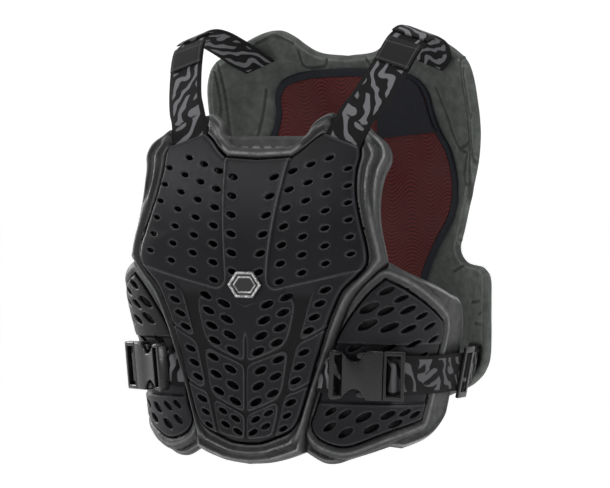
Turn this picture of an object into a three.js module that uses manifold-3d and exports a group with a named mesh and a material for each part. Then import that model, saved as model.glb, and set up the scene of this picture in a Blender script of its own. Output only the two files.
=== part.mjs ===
import * as THREE from "three";
import { mergeVertices } from "three/addons/utils/BufferGeometryUtils.js";
import Module from "manifold-3d";

const wasm = await Module();
wasm.setup();

// Chest and back protector, worn shape. Millimetres, +Z up, the wearer faces -Y.
// Heights are measured from the chest line, where the vented plate is widest.
const chestLine = 0;

// Torso that the foam is moulded to, measured at its skin side
const chestHalfWidth = 176;
const waistHalfWidth = 151;
const chestDepth = 100;
const flankDepth = 112;
const chestSetback = 38;
const chestSquareness = 4;
const waistSquareness = 3;
const bustLevel = -25;
const clavicleLevel = 118;
const squareSpan = 90;
const waistSpan = 185;
const backHalfWidth = 185;
const shoulderHalfWidth = 173;
const seatHalfWidth = 160;
const backDepth = 124;
const backSquareness = 3;
const napeSetback = 55;
const scapulaLevel = 70;
const napeLevel = 228;
const loinLevel = -105;
const ribLevel = -40;
const seatLevel = -195;

// Front foam and its plate
const frontHalfGirth = 148;
const frontHem = -222;
const frontTop = 131;
const frontFoamThickness = 21;
const plateSeatLift = 15.5;
const neckLipLift = 11;
const plateHalfGirth = 129;
const plateHem = -201;
const plateTop = 108;
const plateThickness = 5.5;
const plateRibWidth = 5;
const plateRibHeight = 1.6;

// Side wings
const wingReach = 260;
const wingHem = -218;
const wingTop = -13;
const wingFoamThickness = 14;
const wingSeatLift = 9.6;
const wingPlateThickness = 3.8;
const strapChannelDepth = 1.7;
const strapChannelWidth = 62;

// Back panel and its mesh
const backHalfGirth = 206;
const backHem = -200;
const backTop = 231;
const backFoamThickness = 10;
const meshHalfGirth = 131;
const meshHem = -150;
const meshTop = 187;
const meshThickness = 1.4;
const meshBorderWidth = 8;
const meshBorderThickness = 2;
const flapThickness = 1;
const flapGirthStart = -38;
const flapGirthEnd = -97;
const flapBase = 119;
const flapRise = 50;

// Webbing, buckles and sliders
const webbingWidth = 40;
const webbingThickness = 2;
const waistStrapLevel = -125;
const buckleGirth = 140;
const buckleLength = 76;
const buckleHeight = 50;
const buckleThickness = 11;
const buckleBar = 4;
const barHalf = 1.6;
const socketLength = 54;
const socketBite = 11;
const plugThickness = 8;
const prongThickness = 4.4;
const sliderGirth = 258;
const sliderLength = 20;
const sliderHeight = 54;
const sliderThickness = 3.6;
const waistStrapSeam = 150;
const tabTuck = 4.5;

// Shoulder straps
const shoulderStrapWidth = 42;
const shoulderStrapTilt = 19;
const crestLevel = 218;
const crestHalfSpan = 131;
const strapFootGirth = 91.5;
const strapFootLevel = 101.5;
const strapHeelGirth = 112;
const strapHeelLevel = 190;
const strapTuck = 14;
const strapThickness = 2.2;
const patchLength = 27;
const patchThickness = 1.6;

// Badge
const badgeWidth = 40;
const badgeHeight = 27;
const badgeLevel = -38;
const badgeThickness = 2.6;
const badgeRim = 3;

// Clearances and mesh fineness
const layGap = 0.99;
const fitGap = 0.6;
const seamGap = 0.5;
const pocketGap = 1;
const strapClearance = 1.3;
const sagLimit = 0.9;
const spanSteps = 2;

const clamp = (value) => Math.min(1, Math.max(0, value));
const ease = (value) => THREE.MathUtils.smoothstep(value, 0, 1);
const mix = THREE.MathUtils.lerp;

// A point of a unit superellipse: 0 is straight ahead and a quarter turn is the side
function unitPoint(angle, squareness) {
  const across = Math.abs(Math.sin(angle));
  const along = Math.abs(Math.cos(angle));
  const reach = (across ** squareness + along ** squareness) ** (-1 / squareness);
  return { across: reach * Math.sin(angle), along: reach * Math.cos(angle) };
}

function frontSection(angle, height) {
  const below = bustLevel - height;
  const squareness = mix(chestSquareness, waistSquareness, ease(below / squareSpan));
  const halfWidth = mix(chestHalfWidth, waistHalfWidth, ease(below / waistSpan));
  const rise = Math.max(0, -below / (clavicleLevel - bustLevel));
  const depth = chestDepth - chestSetback * rise ** 2;
  const unit = unitPoint(angle, squareness);
  const reach = unit.along > 0 ? depth : flankDepth;
  return new THREE.Vector3(halfWidth * unit.across, -reach * unit.along, height);
}

function backSection(angle, height) {
  const toShoulder = ease((height - ribLevel) / (strapHeelLevel - ribLevel));
  const toSeat = ease((loinLevel - height) / (loinLevel - seatLevel));
  const upperWidth = mix(backHalfWidth, shoulderHalfWidth, toShoulder);
  const halfWidth = height > loinLevel ? upperWidth : mix(backHalfWidth, seatHalfWidth, toSeat);
  const rise = Math.max(0, (height - scapulaLevel) / (napeLevel - scapulaLevel));
  const depth = backDepth - napeSetback * rise ** 2;
  const unit = unitPoint(angle, backSquareness);
  return new THREE.Vector3(-halfWidth * unit.across, depth * unit.along, height);
}

// Fineness and turn of the table that relates girth to angle
const girthSteps = 720;
const girthTurn = 0.7 * Math.PI;

// A moulded surface read by girth from the centre line, height, and lift off the skin
class Surface {
  constructor(section, level) {
    this.section = section;
    this.angles = [];
    this.girths = [];
    let girth = 0;
    let before = section(0, level);
    for (let step = 0; step <= girthSteps; step += 1) {
      const angle = (step / girthSteps) * girthTurn;
      const here = section(angle, level);
      girth += here.distanceTo(before);
      this.angles.push(angle);
      this.girths.push(girth);
      before = here;
    }
  }

  angleAt(girth) {
    const wanted = Math.abs(girth);
    let low = 0;
    let high = this.girths.length - 1;
    while (high - low > 1) {
      const middle = (low + high) >> 1;
      if (this.girths[middle] > wanted) high = middle;
      else low = middle;
    }
    const share = (wanted - this.girths[low]) / (this.girths[high] - this.girths[low]);
    return Math.sign(girth) * mix(this.angles[low], this.angles[high], share);
  }

  skin(girth, height) {
    return this.section(this.angleAt(girth), height);
  }

  normal(girth, height) {
    const reach = 0.5;
    const sideways = this.skin(girth + reach, height).sub(this.skin(girth - reach, height));
    const upwards = this.skin(girth, height + reach).sub(this.skin(girth, height - reach));
    return sideways.cross(upwards).normalize();
  }

  at(girth, height, lift) {
    return this.skin(girth, height).addScaledVector(this.normal(girth, height), lift);
  }
}

const front = new Surface(frontSection, bustLevel);
const back = new Surface(backSection, ribLevel);

// Bends a solid drawn flat (girth, height, lift) onto a surface, halving every edge that sags
function bend(flat, surface) {
  const source = flat.getAttribute("position");
  const points = [];
  const placed = [];
  for (let index = 0; index < source.count; index += 1) {
    points.push(new THREE.Vector3().fromBufferAttribute(source, index));
    placed.push(surface.at(...points[index].toArray()));
  }
  const edges = new Map();
  const edgeOf = (first, second) => {
    const key = first < second ? `${first}_${second}` : `${second}_${first}`;
    if (!edges.has(key)) {
      const middle = points[first].clone().lerp(points[second], 0.5);
      const bent = surface.at(...middle.toArray());
      const sags = [0.25, 0.5, 0.75].map((share) => {
        const flatPoint = points[first].clone().lerp(points[second], share);
        const chord = placed[first].clone().lerp(placed[second], share);
        return surface.at(...flatPoint.toArray()).distanceTo(chord);
      });
      const length = points[first].distanceTo(points[second]);
      edges.set(key, { middle, bent, sag: Math.max(...sags), length, index: -1 });
    }
    return edges.get(key);
  };
  const indices = flat.getIndex().array;
  const waiting = [];
  for (let at = 0; at < indices.length; at += 3) {
    waiting.push([indices[at], indices[at + 1], indices[at + 2]]);
  }
  const faces = [];
  while (waiting.length > 0) {
    const face = waiting.pop();
    let longest = -1;
    let length = 0;
    for (let side = 0; side < 3; side += 1) {
      const edge = edgeOf(face[side], face[(side + 1) % 3]);
      if (edge.sag > sagLimit && edge.length > length) {
        length = edge.length;
        longest = side;
      }
    }
    if (longest < 0) {
      faces.push(...face);
      continue;
    }
    const [start, end, far] = [face[longest], face[(longest + 1) % 3], face[(longest + 2) % 3]];
    const edge = edgeOf(start, end);
    if (edge.index < 0) {
      edge.index = points.length;
      points.push(edge.middle);
      placed.push(edge.bent);
    }
    waiting.push([start, edge.index, far], [edge.index, end, far]);
  }
  return indexed(placed, faces);
}

function indexed(points, faces) {
  const geometry = new THREE.BufferGeometry();
  geometry.setAttribute("position", new THREE.Float32BufferAttribute(points.flatMap((p) => p.toArray()), 3));
  geometry.setIndex(faces);
  return geometry;
}

function welded(geometry) {
  const copy = geometry.clone();
  copy.deleteAttribute("normal");
  copy.deleteAttribute("uv");
  return mergeVertices(copy, 1e-4);
}

// Solids for cutting and joining
function solid(geometry) {
  const closed = welded(geometry);
  return new wasm.Manifold(new wasm.Mesh({
    numProp: 3,
    vertProperties: new Float32Array(closed.getAttribute("position").array),
    triVerts: new Uint32Array(closed.getIndex().array),
  }));
}

function faceted(body) {
  const result = body.getMesh();
  const geometry = new THREE.BufferGeometry();
  geometry.setAttribute("position", new THREE.BufferAttribute(new Float32Array(result.vertProperties), 3));
  geometry.setIndex(new THREE.BufferAttribute(new Uint32Array(result.triVerts), 1));
  return geometry;
}

// Closed curve through rows, smooth between the rows marked as corners
function smooth(rows) {
  const points = [];
  const corners = rows.map((row, index) => (row.corner ? index : -1)).filter((index) => index >= 0);
  corners.forEach((start, turn) => {
    const end = corners[(turn + 1) % corners.length];
    const span = [];
    for (let index = start; ; index = (index + 1) % rows.length) {
      span.push(new THREE.Vector3(rows[index].girth, rows[index].height, 0));
      if (index === end && span.length > 1) break;
    }
    if (span.length === 2) {
      points.push(span[0]);
      return;
    }
    const curve = new THREE.CatmullRomCurve3(span, false, "centripetal");
    points.push(...curve.getPoints((span.length - 1) * spanSteps).slice(0, -1));
  });
  return points.map((point) => new THREE.Vector2(point.x, point.y));
}

// Rows hold shares of a half girth and of the height from a hem to a top
function scaled(rows, halfGirth, hem, top) {
  return rows.map((row) => ({
    girth: row.out * halfGirth,
    height: mix(hem, top, row.up),
    corner: row.corner,
  }));
}

// Half outline from the centre of the hem up to the centre of the top, with its mirror image
function mirroredOutline(rows) {
  const inner = rows.filter((row) => row.girth > 0).reverse();
  const other = inner.map((row) => ({ ...row, girth: -row.girth }));
  return smooth([...rows, ...other]);
}

// Moves every side of a closed outline outwards
function grown(points, distance) {
  return points.map((point, index) => {
    const before = points[(index + points.length - 1) % points.length];
    const after = points[(index + 1) % points.length];
    const first = point.clone().sub(before).normalize();
    const second = after.clone().sub(point).normalize();
    const normal = new THREE.Vector2(first.y + second.y, -first.x - second.x).normalize();
    const spread = Math.max(0.5, normal.dot(new THREE.Vector2(first.y, -first.x)));
    return point.clone().addScaledVector(normal, distance / spread);
  });
}

function slab(points, lift, thickness, holes = [], round = 0) {
  const shape = new THREE.Shape(points);
  shape.holes = holes.map((hole) => new THREE.Path(hole));
  const geometry = new THREE.ExtrudeGeometry(shape, {
    depth: thickness - 2 * round,
    bevelEnabled: round > 0,
    bevelThickness: round,
    bevelSize: round,
    bevelOffset: -round,
    bevelSegments: 1,
  });
  return geometry.translate(0, 0, lift + round);
}

function block(girths, heights, lifts) {
  const size = [girths, heights, lifts].map(([low, high]) => high - low);
  const middle = [girths, heights, lifts].map(([low, high]) => (low + high) / 2);
  return new THREE.BoxGeometry(...size).translate(...middle);
}

function oval(centre, length, width, tilt, sides = 6) {
  const points = [];
  for (let side = 0; side < sides; side += 1) {
    const turn = ((side + 0.5) / sides) * 2 * Math.PI;
    const point = new THREE.Vector2((Math.cos(turn) * length) / 2, (Math.sin(turn) * width) / 2);
    points.push(point.rotateAround(new THREE.Vector2(), tilt).add(centre));
  }
  return points;
}

// Turns every face over
function reversed(geometry) {
  const index = geometry.getIndex().array;
  for (let at = 0; at < index.length; at += 3) {
    [index[at], index[at + 1]] = [index[at + 1], index[at]];
  }
  return geometry;
}

const mirrored = (geometry) => reversed(geometry.clone().scale(-1, 1, 1));
const flipped = (points) => points.map((point) => new THREE.Vector2(-point.x, point.y)).reverse();

const foamHemRows = [
  { out: 0, up: 0, corner: true },
  { out: 0.21, up: 0.008 },
  { out: 0.37, up: 0.024 },
];
const foamSideRows = [
  { out: 0.486, up: 0.04, corner: true },
  { out: 0.493, up: 0.08 },
  { out: 0.554, up: 0.19 },
  { out: 0.655, up: 0.32 },
  { out: 0.703, up: 0.4 },
  { out: 0.784, up: 0.49 },
  { out: 0.9, up: 0.55 },
  { out: 1, up: 0.59, corner: true },
];
const foamArmholeRows = [
  { out: 0.98, up: 0.63 },
  { out: 0.945, up: 0.69 },
  { out: 0.925, up: 0.77 },
  { out: 0.935, up: 0.83 },
  { out: 0.965, up: 0.875 },
  { out: 0.935, up: 0.91 },
  { out: 0.84, up: 0.94 },
  { out: 0.76, up: 0.967 },
  { out: 0.64, up: 0.99 },
  { out: 0.54, up: 1 },
  { out: 0.48, up: 0.997 },
  { out: 0.42, up: 0.988 },
  { out: 0.36, up: 0.968 },
  { out: 0.325, up: 0.937, corner: true },
  { out: 0, up: 0.937, corner: true },
];
const plateRows = [
  { out: 0, up: 0, corner: true },
  { out: 0.28, up: 0.025, corner: true },
  { out: 0.45, up: 0.055 },
  { out: 0.51, up: 0.082 },
  { out: 0.6, up: 0.2 },
  { out: 0.67, up: 0.32 },
  { out: 0.71, up: 0.39 },
  { out: 0.76, up: 0.455 },
  { out: 0.83, up: 0.52 },
  { out: 0.945, up: 0.57 },
  { out: 1, up: 0.6 },
  { out: 1, up: 0.64 },
  { out: 0.94, up: 0.73 },
  { out: 0.888, up: 0.81 },
  { out: 0.868, up: 0.885 },
  { out: 0.876, up: 0.935 },
  { out: 0.86, up: 0.96, corner: true },
  { out: 0.556, up: 1, corner: true },
  { out: 0.472, up: 0.978 },
  { out: 0.387, up: 0.946 },
  { out: 0.305, up: 0.922, corner: true },
  { out: 0, up: 0.915, corner: true },
];
const ribRows = [
  { out: 0.197, up: 0.55 },
  { out: 0.297, up: 0.9 },
];
const neckLipRows = [
  { out: 0.35, up: 0.95 },
  { out: 0.29, up: 0.91 },
  { out: 0.2, up: 0.888 },
  { out: 0, up: 0.884 },
];
const wingRows = [
  { out: 0.373, up: 0 },
  { out: 0.437, up: 0 },
  { out: 0.494, up: 0.02 },
  { out: 0.58, up: 0.05 },
  { out: 0.665, up: 0.083, corner: true },
  { out: 0.715, up: 0.072, corner: true },
  { out: 0.888, up: 0.137 },
  { out: 0.969, up: 0.22 },
  { out: 0.985, up: 0.31 },
  { out: 1, up: 0.65 },
  { out: 0.946, up: 0.8 },
  { out: 0.846, up: 0.844 },
  { out: 0.66, up: 0.934 },
];
const wingPlateRows = [
  { out: 0.335, up: 0.268 },
  { out: 0.315, up: 0.195 },
  { out: 0.342, up: 0.137 },
  { out: 0.427, up: 0.095 },
  { out: 0.492, up: 0.094 },
  { out: 0.658, up: 0.173 },
  { out: 0.776, up: 0.224, corner: true },
  { out: 0.788, up: 0.322 },
  { out: 0.81, up: 0.668 },
  { out: 0.796, up: 0.712, corner: true },
  { out: 0.727, up: 0.776 },
  { out: 0.613, up: 0.878 },
  { out: 0.56, up: 0.912, corner: true },
  { out: 0.515, up: 0.859 },
  { out: 0.454, up: 0.751 },
  { out: 0.4, up: 0.617 },
];
const backRows = [
  { out: 0, up: 0, corner: true },
  { out: 0.243, up: 0.005 },
  { out: 0.413, up: 0.035 },
  { out: 0.573, up: 0.081 },
  { out: 0.777, up: 0.121 },
  { out: 0.932, up: 0.174 },
  { out: 1, up: 0.24 },
  { out: 0.99, up: 0.348 },
  { out: 0.922, up: 0.385 },
  { out: 0.816, up: 0.406 },
  { out: 0.65, up: 0.418 },
  { out: 0.602, up: 0.447 },
  { out: 0.636, up: 0.497 },
  { out: 0.718, up: 0.596 },
  { out: 0.825, up: 0.694 },
  { out: 0.874, up: 0.747 },
  { out: 0.888, up: 0.812 },
  { out: 0.879, up: 0.87 },
  { out: 0.835, up: 0.916 },
  { out: 0.733, up: 0.947 },
  { out: 0.551, up: 0.984 },
  { out: 0.454, up: 1 },
  { out: 0.369, up: 0.992 },
  { out: 0.291, up: 0.972 },
  { out: 0.218, up: 0.949 },
  { out: 0, up: 0.926, corner: true },
];
const meshRows = [
  { out: 0, up: 0, corner: true },
  { out: 0.38, up: 0.015 },
  { out: 0.52, up: 0.12 },
  { out: 0.595, up: 0.267 },
  { out: 0.64, up: 0.34 },
  { out: 0.77, up: 0.436 },
  { out: 0.947, up: 0.534 },
  { out: 1, up: 0.626 },
  { out: 0.947, up: 0.736 },
  { out: 0.847, up: 0.8 },
  { out: 0.794, up: 0.86 },
  { out: 0.78, up: 0.914 },
  { out: 0.7, up: 0.96 },
  { out: 0.475, up: 0.99 },
  { out: 0, up: 1, corner: true },
];

const flapRows = [
  { out: 0.967, up: 0.1 },
  { out: 0.934, up: 0.4 },
  { out: 0.885, up: 0.9 },
  { out: 0, up: 1 },
  { out: 0, up: 0 },
];

// Vents of the upper plate, in rows that rise outwards and spread as they go down
const upperVents = {
  rows: 7, rowPitch: 0.0583, firstUp: 0.86, firstOut: 0.189, outStep: -0.014,
  pitch: 0.151, pitchStep: 0.0078, rise: 0.0205, riseStep: 0.0004,
};
const upperVentSpans = [
  { from: 0, to: 3 }, { from: 0, to: 4 }, { from: 0, to: 4 }, { from: 0, to: 4 },
  { from: 0, to: 4 }, { from: 0, to: 4 }, { from: 1, to: 4 },
];
// Vents of the lower plate, each row one line of them from its upper end to its lower end
const lowerVentLines = [
  { count: 4, outFrom: 0.372, upFrom: 0.489, outTo: 0.298, upTo: 0.34 },
  { count: 3, outFrom: 0.318, upFrom: 0.285, outTo: 0.274, upTo: 0.172 },
  { count: 2, outFrom: 0.236, upFrom: 0.107, outTo: 0.211, upTo: 0.063 },
  { count: 4, outFrom: 0.202, upFrom: 0.464, outTo: 0.124, upTo: 0.308 },
  { count: 3, outFrom: 0.15, upFrom: 0.247, outTo: 0.107, upTo: 0.141 },
  { count: 2, outFrom: 0.105, upFrom: 0.084, outTo: 0.081, upTo: 0.041 },
  { count: 4, outFrom: 0.705, upFrom: 0.518, outTo: 0.577, upTo: 0.385 },
  { count: 3, outFrom: 0.543, upFrom: 0.312, outTo: 0.484, upTo: 0.217 },
  { count: 3, outFrom: 0.45, upFrom: 0.145, outTo: 0.388, upTo: 0.058 },
];
const ventLength = 13;
const ventWidth = 6;
const outerVentShrink = 0.3;
const upperVentTilt = 0.3;
const lowerVentTilt = 0.48;

function ventOutlines() {
  const vents = [];
  const add = (out, up, tilt) => {
    const centre = new THREE.Vector2(out * plateHalfGirth, mix(plateHem, plateTop, up));
    const size = 1 - outerVentShrink * clamp(out);
    const right = oval(centre, ventLength * size, ventWidth * size, tilt);
    vents.push(right, flipped(right));
  };
  upperVentSpans.forEach((span, row) => {
    const pitch = upperVents.pitch + row * upperVents.pitchStep;
    const rise = (upperVents.rise + row * upperVents.riseStep) * (pitch / upperVents.pitch);
    const firstOut = upperVents.firstOut + row * upperVents.outStep;
    const firstUp = upperVents.firstUp - row * upperVents.rowPitch;
    for (let column = span.from; column <= span.to; column += 1) {
      add(firstOut + column * pitch, firstUp + column * rise, upperVentTilt);
    }
  });
  for (const line of lowerVentLines) {
    for (let place = 0; place < line.count; place += 1) {
      const share = place / (line.count - 1);
      add(mix(line.outFrom, line.outTo, share), mix(line.upFrom, line.upTo, share), lowerVentTilt);
    }
  }
  return vents;
}

const foamSide = scaled(foamSideRows, frontHalfGirth, frontHem, frontTop);
const foamOutline = mirroredOutline([
  ...scaled(foamHemRows, frontHalfGirth, frontHem, frontTop),
  ...foamSide,
  ...scaled(foamArmholeRows, frontHalfGirth, frontHem, frontTop),
]);
const plateOutline = mirroredOutline(scaled(plateRows, plateHalfGirth, plateHem, plateTop));
const backOutline = mirroredOutline(scaled(backRows, backHalfGirth, backHem, backTop));
const meshOutline = mirroredOutline(scaled(meshRows, meshHalfGirth, meshHem, meshTop));

// Where a shoulder strap crosses the front, from its tucked foot to beyond the foam
const strapAcross = new THREE.Vector2(1, 0).rotateAround(new THREE.Vector2(),
  -THREE.MathUtils.degToRad(shoulderStrapTilt));
const strapFoot = new THREE.Vector2(strapFootGirth, strapFootLevel);
const strapLean = 0.2;
const strapUp = new THREE.Vector2(strapLean, 1).normalize();
const strapLift = plateSeatLift - strapThickness;

const corridorRise = 60;

function strapCorridor(halfWidth, below, above) {
  const low = strapFoot.clone().addScaledVector(strapUp, -below);
  const high = strapFoot.clone().addScaledVector(strapUp, above);
  return [
    low.clone().addScaledVector(strapAcross, -halfWidth),
    low.clone().addScaledVector(strapAcross, halfWidth),
    high.clone().addScaledVector(strapAcross, halfWidth),
    high.clone().addScaledVector(strapAcross, -halfWidth),
  ];
}

const waistHalf = webbingWidth / 2 + pocketGap;

// Slot under the edge of the front foam, as slanted as the seam that it opens in
function tabSlot() {
  const [low, high] = [waistStrapLevel - waistHalf, waistStrapLevel + waistHalf];
  const depth = tabTuck + pocketGap;
  return [
    new THREE.Vector2(seamGirthAt(low) - depth, low),
    new THREE.Vector2(seamGirthAt(low) + depth, low),
    new THREE.Vector2(seamGirthAt(high) + depth, high),
    new THREE.Vector2(seamGirthAt(high) - depth, high),
  ];
}

function frontFoam() {
  const deep = frontFoamThickness;
  let body = solid(slab(foamOutline, 0, frontFoamThickness));
  body = body.subtract(solid(slab(grown(plateOutline, pocketGap), plateSeatLift, deep)));
  const lip = scaled(neckLipRows, frontHalfGirth, frontHem, frontTop);
  const lipTop = { girth: 0, height: frontTop };
  const lipSide = { girth: lip[0].girth, height: frontTop };
  const lipRows = [lip[3], lip[2], lip[1], lip[0], lipSide, lipTop];
  const lipOutline = lipRows.map((row) => new THREE.Vector2(row.girth, row.height));
  body = body.subtract(solid(slab(mirroredLip(lipOutline), neckLipLift, deep)));
  const corridorHalf = shoulderStrapWidth / 2 + 3 * pocketGap;
  const corridor = strapCorridor(corridorHalf, strapTuck + pocketGap, corridorRise);
  for (const outline of [corridor, flipped(corridor)]) {
    body = body.subtract(solid(slab(outline, strapLift - strapClearance, deep)));
  }
  const slot = tabSlot();
  for (const outline of [slot, flipped(slot)]) {
    const opened = slab(outline, tabLift - pocketGap, webbingThickness + 2 * pocketGap);
    body = body.subtract(solid(opened));
  }
  return bend(faceted(body), front);
}

function mirroredLip(points) {
  const inner = points.slice(1, -1).map((point) => new THREE.Vector2(-point.x, point.y));
  return [...points, ...inner.reverse()];
}

// Girth of the seam between the front foam and a wing, at a height
function seamGirthAt(height) {
  for (let index = 1; index < foamSide.length; index += 1) {
    const [low, high] = [foamSide[index - 1], foamSide[index]];
    if (height <= high.height) {
      return mix(low.girth, high.girth, (height - low.height) / (high.height - low.height));
    }
  }
  return frontHalfGirth;
}

const tabLift = wingFoamThickness + layGap;
const plateLift = plateSeatLift + layGap;

function frontPlate() {
  let body = solid(slab(plateOutline, plateLift, plateThickness, ventOutlines()));
  const top = plateLift + plateThickness;
  const half = plateRibWidth / 2;
  const [low, high] = scaled(ribRows, plateHalfGirth, plateHem, plateTop);
  const rib = [
    new THREE.Vector2(low.girth - half, low.height),
    new THREE.Vector2(low.girth + half, low.height),
    new THREE.Vector2(high.girth + half, high.height),
    new THREE.Vector2(high.girth - half, high.height),
  ];
  for (const outline of [rib, flipped(rib)]) {
    body = body.add(solid(slab(outline, top - layGap, plateRibHeight + layGap)));
  }
  return bend(faceted(body), front);
}

function badge() {
  const corners = [];
  for (let corner = 0; corner < 6; corner += 1) {
    const turn = (corner / 6) * 2 * Math.PI;
    corners.push(new THREE.Vector2((Math.cos(turn) * badgeWidth) / 2,
      badgeLevel + (Math.sin(turn) * badgeHeight) / Math.sqrt(3)));
  }
  const lift = plateLift + plateThickness + fitGap;
  const dish = slab(grown(corners, -badgeRim), lift + badgeThickness / 2, badgeThickness);
  const body = solid(slab(corners, lift, badgeThickness)).subtract(solid(dish));
  return bend(faceted(body), front);
}

const wingOuter = scaled(wingRows, wingReach, wingHem, wingTop);
const wingSeam = foamSide.map((row) => ({ ...row, girth: row.girth + seamGap })).reverse();
const wingOutline = smooth([...wingSeam, ...wingOuter]);
const wingPlateOutline = smooth(scaled(wingPlateRows, wingReach, wingHem, wingTop));

function wingFoam() {
  const pocket = grown(wingPlateOutline, pocketGap);
  const body = solid(slab(wingOutline, 0, wingFoamThickness));
  return bend(faceted(body.subtract(solid(slab(pocket, wingSeatLift, wingFoamThickness)))), front);
}

function wingPlate() {
  const lift = wingSeatLift + layGap;
  const top = lift + wingPlateThickness;
  const channel = block([0, 2 * wingReach],
    [waistStrapLevel - strapChannelWidth / 2, waistStrapLevel + strapChannelWidth / 2],
    [top - strapChannelDepth, 2 * top]);
  const body = solid(slab(wingPlateOutline, lift, wingPlateThickness)).subtract(solid(channel));
  return bend(faceted(body), front);
}

function backFoam() {
  return bend(faceted(solid(slab(backOutline, 0, backFoamThickness))), back);
}

const meshLift = -layGap - meshThickness;
const borderInset = grown(meshOutline, -meshBorderWidth);

function backMesh() {
  return bend(faceted(solid(slab(grown(borderInset, -fitGap), meshLift, meshThickness))), back);
}

function meshBorder() {
  const lift = -layGap - meshBorderThickness;
  return bend(faceted(solid(slab(meshOutline, lift, meshBorderThickness, [borderInset]))), back);
}

function meshFlap() {
  const outline = flapRows.map((row) => new THREE.Vector2(
    mix(flapGirthStart, flapGirthEnd, row.out),
    flapBase + flapRise * row.up,
  ));
  return bend(faceted(solid(slab(outline, meshLift - layGap - flapThickness, flapThickness))), back);
}

// Webbing lofted through stations of four corners: lower inner, upper inner, upper outer, lower outer
function ribbon(stations) {
  const points = stations.flat();
  const faces = [];
  const corners = 4;
  for (let step = 0; step < stations.length - 1; step += 1) {
    for (let corner = 0; corner < corners; corner += 1) {
      const next = (corner + 1) % corners;
      const here = step * corners;
      const there = here + corners;
      faces.push(here + corner, here + next, there + next, here + corner, there + next, there + corner);
    }
  }
  const last = (stations.length - 1) * corners;
  faces.push(0, 2, 1, 0, 3, 2, last, last + 1, last + 2, last, last + 2, last + 3);
  const geometry = indexed(points, faces);
  return volume(geometry) < 0 ? reversed(geometry) : geometry;
}

function volume(geometry) {
  const position = geometry.getAttribute("position");
  const index = geometry.getIndex().array;
  const corner = (at) => new THREE.Vector3().fromBufferAttribute(position, index[at]);
  let total = 0;
  for (let at = 0; at < index.length; at += 3) {
    total += corner(at).dot(corner(at + 1).cross(corner(at + 2))) / 6;
  }
  return total;
}

function waistStation(surface, girth, lift, slant = 0) {
  const low = waistStrapLevel - webbingWidth / 2;
  const high = waistStrapLevel + webbingWidth / 2;
  return [
    surface.at(girth - slant, low, lift),
    surface.at(girth + slant, high, lift),
    surface.at(girth + slant, high, lift + webbingThickness),
    surface.at(girth - slant, low, lift + webbingThickness),
  ];
}

// Rigid frame that lies on two points of the front surface: x along the strap, y up, z outwards
function strapFrame(girth, length, lift) {
  const start = front.at(girth - length / 2, waistStrapLevel, lift);
  const end = front.at(girth + length / 2, waistStrapLevel, lift);
  const along = end.clone().sub(start).normalize();
  const foot = front.at(girth, waistStrapLevel - webbingWidth / 2, lift);
  const head = front.at(girth, waistStrapLevel + webbingWidth / 2, lift);
  const outwards = along.clone().cross(head.sub(foot)).normalize();
  const upwards = outwards.clone().cross(along).normalize();
  const origin = front.at(girth, waistStrapLevel, lift);
  return new THREE.Matrix4().makeBasis(along, upwards, outwards).setPosition(origin);
}

function frameStation(frame, along, lift) {
  const half = webbingWidth / 2;
  const top = lift + webbingThickness;
  const corners = [[-half, lift], [half, lift], [half, top], [-half, top]];
  return corners.map(([side, rise]) => new THREE.Vector3(along, side, rise).applyMatrix4(frame));
}

const buckleLift = wingFoamThickness + webbingThickness + layGap;
const sliderLift = buckleLift + layGap + fitGap;
const buckleFrame = strapFrame(buckleGirth, buckleLength, buckleLift);
const sliderFrame = strapFrame(sliderGirth, sliderLength, sliderLift);
const socketStart = -buckleLength / 2;
const socketEnd = socketStart + socketLength;
const openingHalf = webbingWidth / 2 + fitGap;
const socketBar = 5;
const socketSlot = 8;
const socketRound = 1;
const tailRound = 0.8;
const biteStart = 1.65;

function socketOutline() {
  const half = buckleHeight / 2;
  const middle = (socketStart + socketEnd) / 2;
  const lobeEnd = socketStart + socketBar + socketSlot;
  const outline = new THREE.Shape();
  outline.moveTo(socketStart + socketBar, -half);
  outline.lineTo(lobeEnd, -half + biteStart);
  outline.quadraticCurveTo(middle, -half + 2 * socketBite, middle + socketBite, -half);
  outline.lineTo(socketEnd, -half);
  outline.lineTo(socketEnd, half);
  outline.lineTo(middle + socketBite, half);
  outline.quadraticCurveTo(middle, half - 2 * socketBite, lobeEnd, half - biteStart);
  outline.lineTo(socketStart + socketBar, half);
  outline.quadraticCurveTo(socketStart, half, socketStart, half - socketBar);
  outline.lineTo(socketStart, -half + socketBar);
  outline.quadraticCurveTo(socketStart, -half, socketStart + socketBar, -half);
  return outline.getPoints(4).slice(0, -1);
}

const prongLift = (buckleThickness - prongThickness) / 2;
const prongWidth = 6.5;
const prongInset = 2.2;
const prongOffset = buckleHeight / 2 - prongInset - prongWidth;

function buckleSocket() {
  const slot = block([socketStart + socketBar, socketStart + socketBar + socketSlot],
    [-openingHalf, openingHalf], [-buckleThickness, 2 * buckleThickness]);
  let body = solid(slab(socketOutline(), 0, buckleThickness, [], socketRound)).subtract(solid(slot));
  const middle = (socketStart + socketEnd) / 2;
  for (const side of [-1, 1]) {
    const edges = [prongOffset - fitGap, prongOffset + prongWidth + fitGap].map((edge) => edge * side);
    const across = [Math.min(...edges), Math.max(...edges)];
    const lifts = [prongLift - fitGap, prongLift + prongThickness + fitGap];
    body = body.subtract(solid(block([middle, socketEnd + 1], across, lifts)));
  }
  return welded(faceted(body)).applyMatrix4(buckleFrame);
}

const plugStart = socketEnd + fitGap;
const plugEnd = buckleLength / 2;
const plugOpening = [plugStart + buckleBar - 1, plugEnd - buckleBar];
const plugLift = webbingThickness + fitGap;

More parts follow.
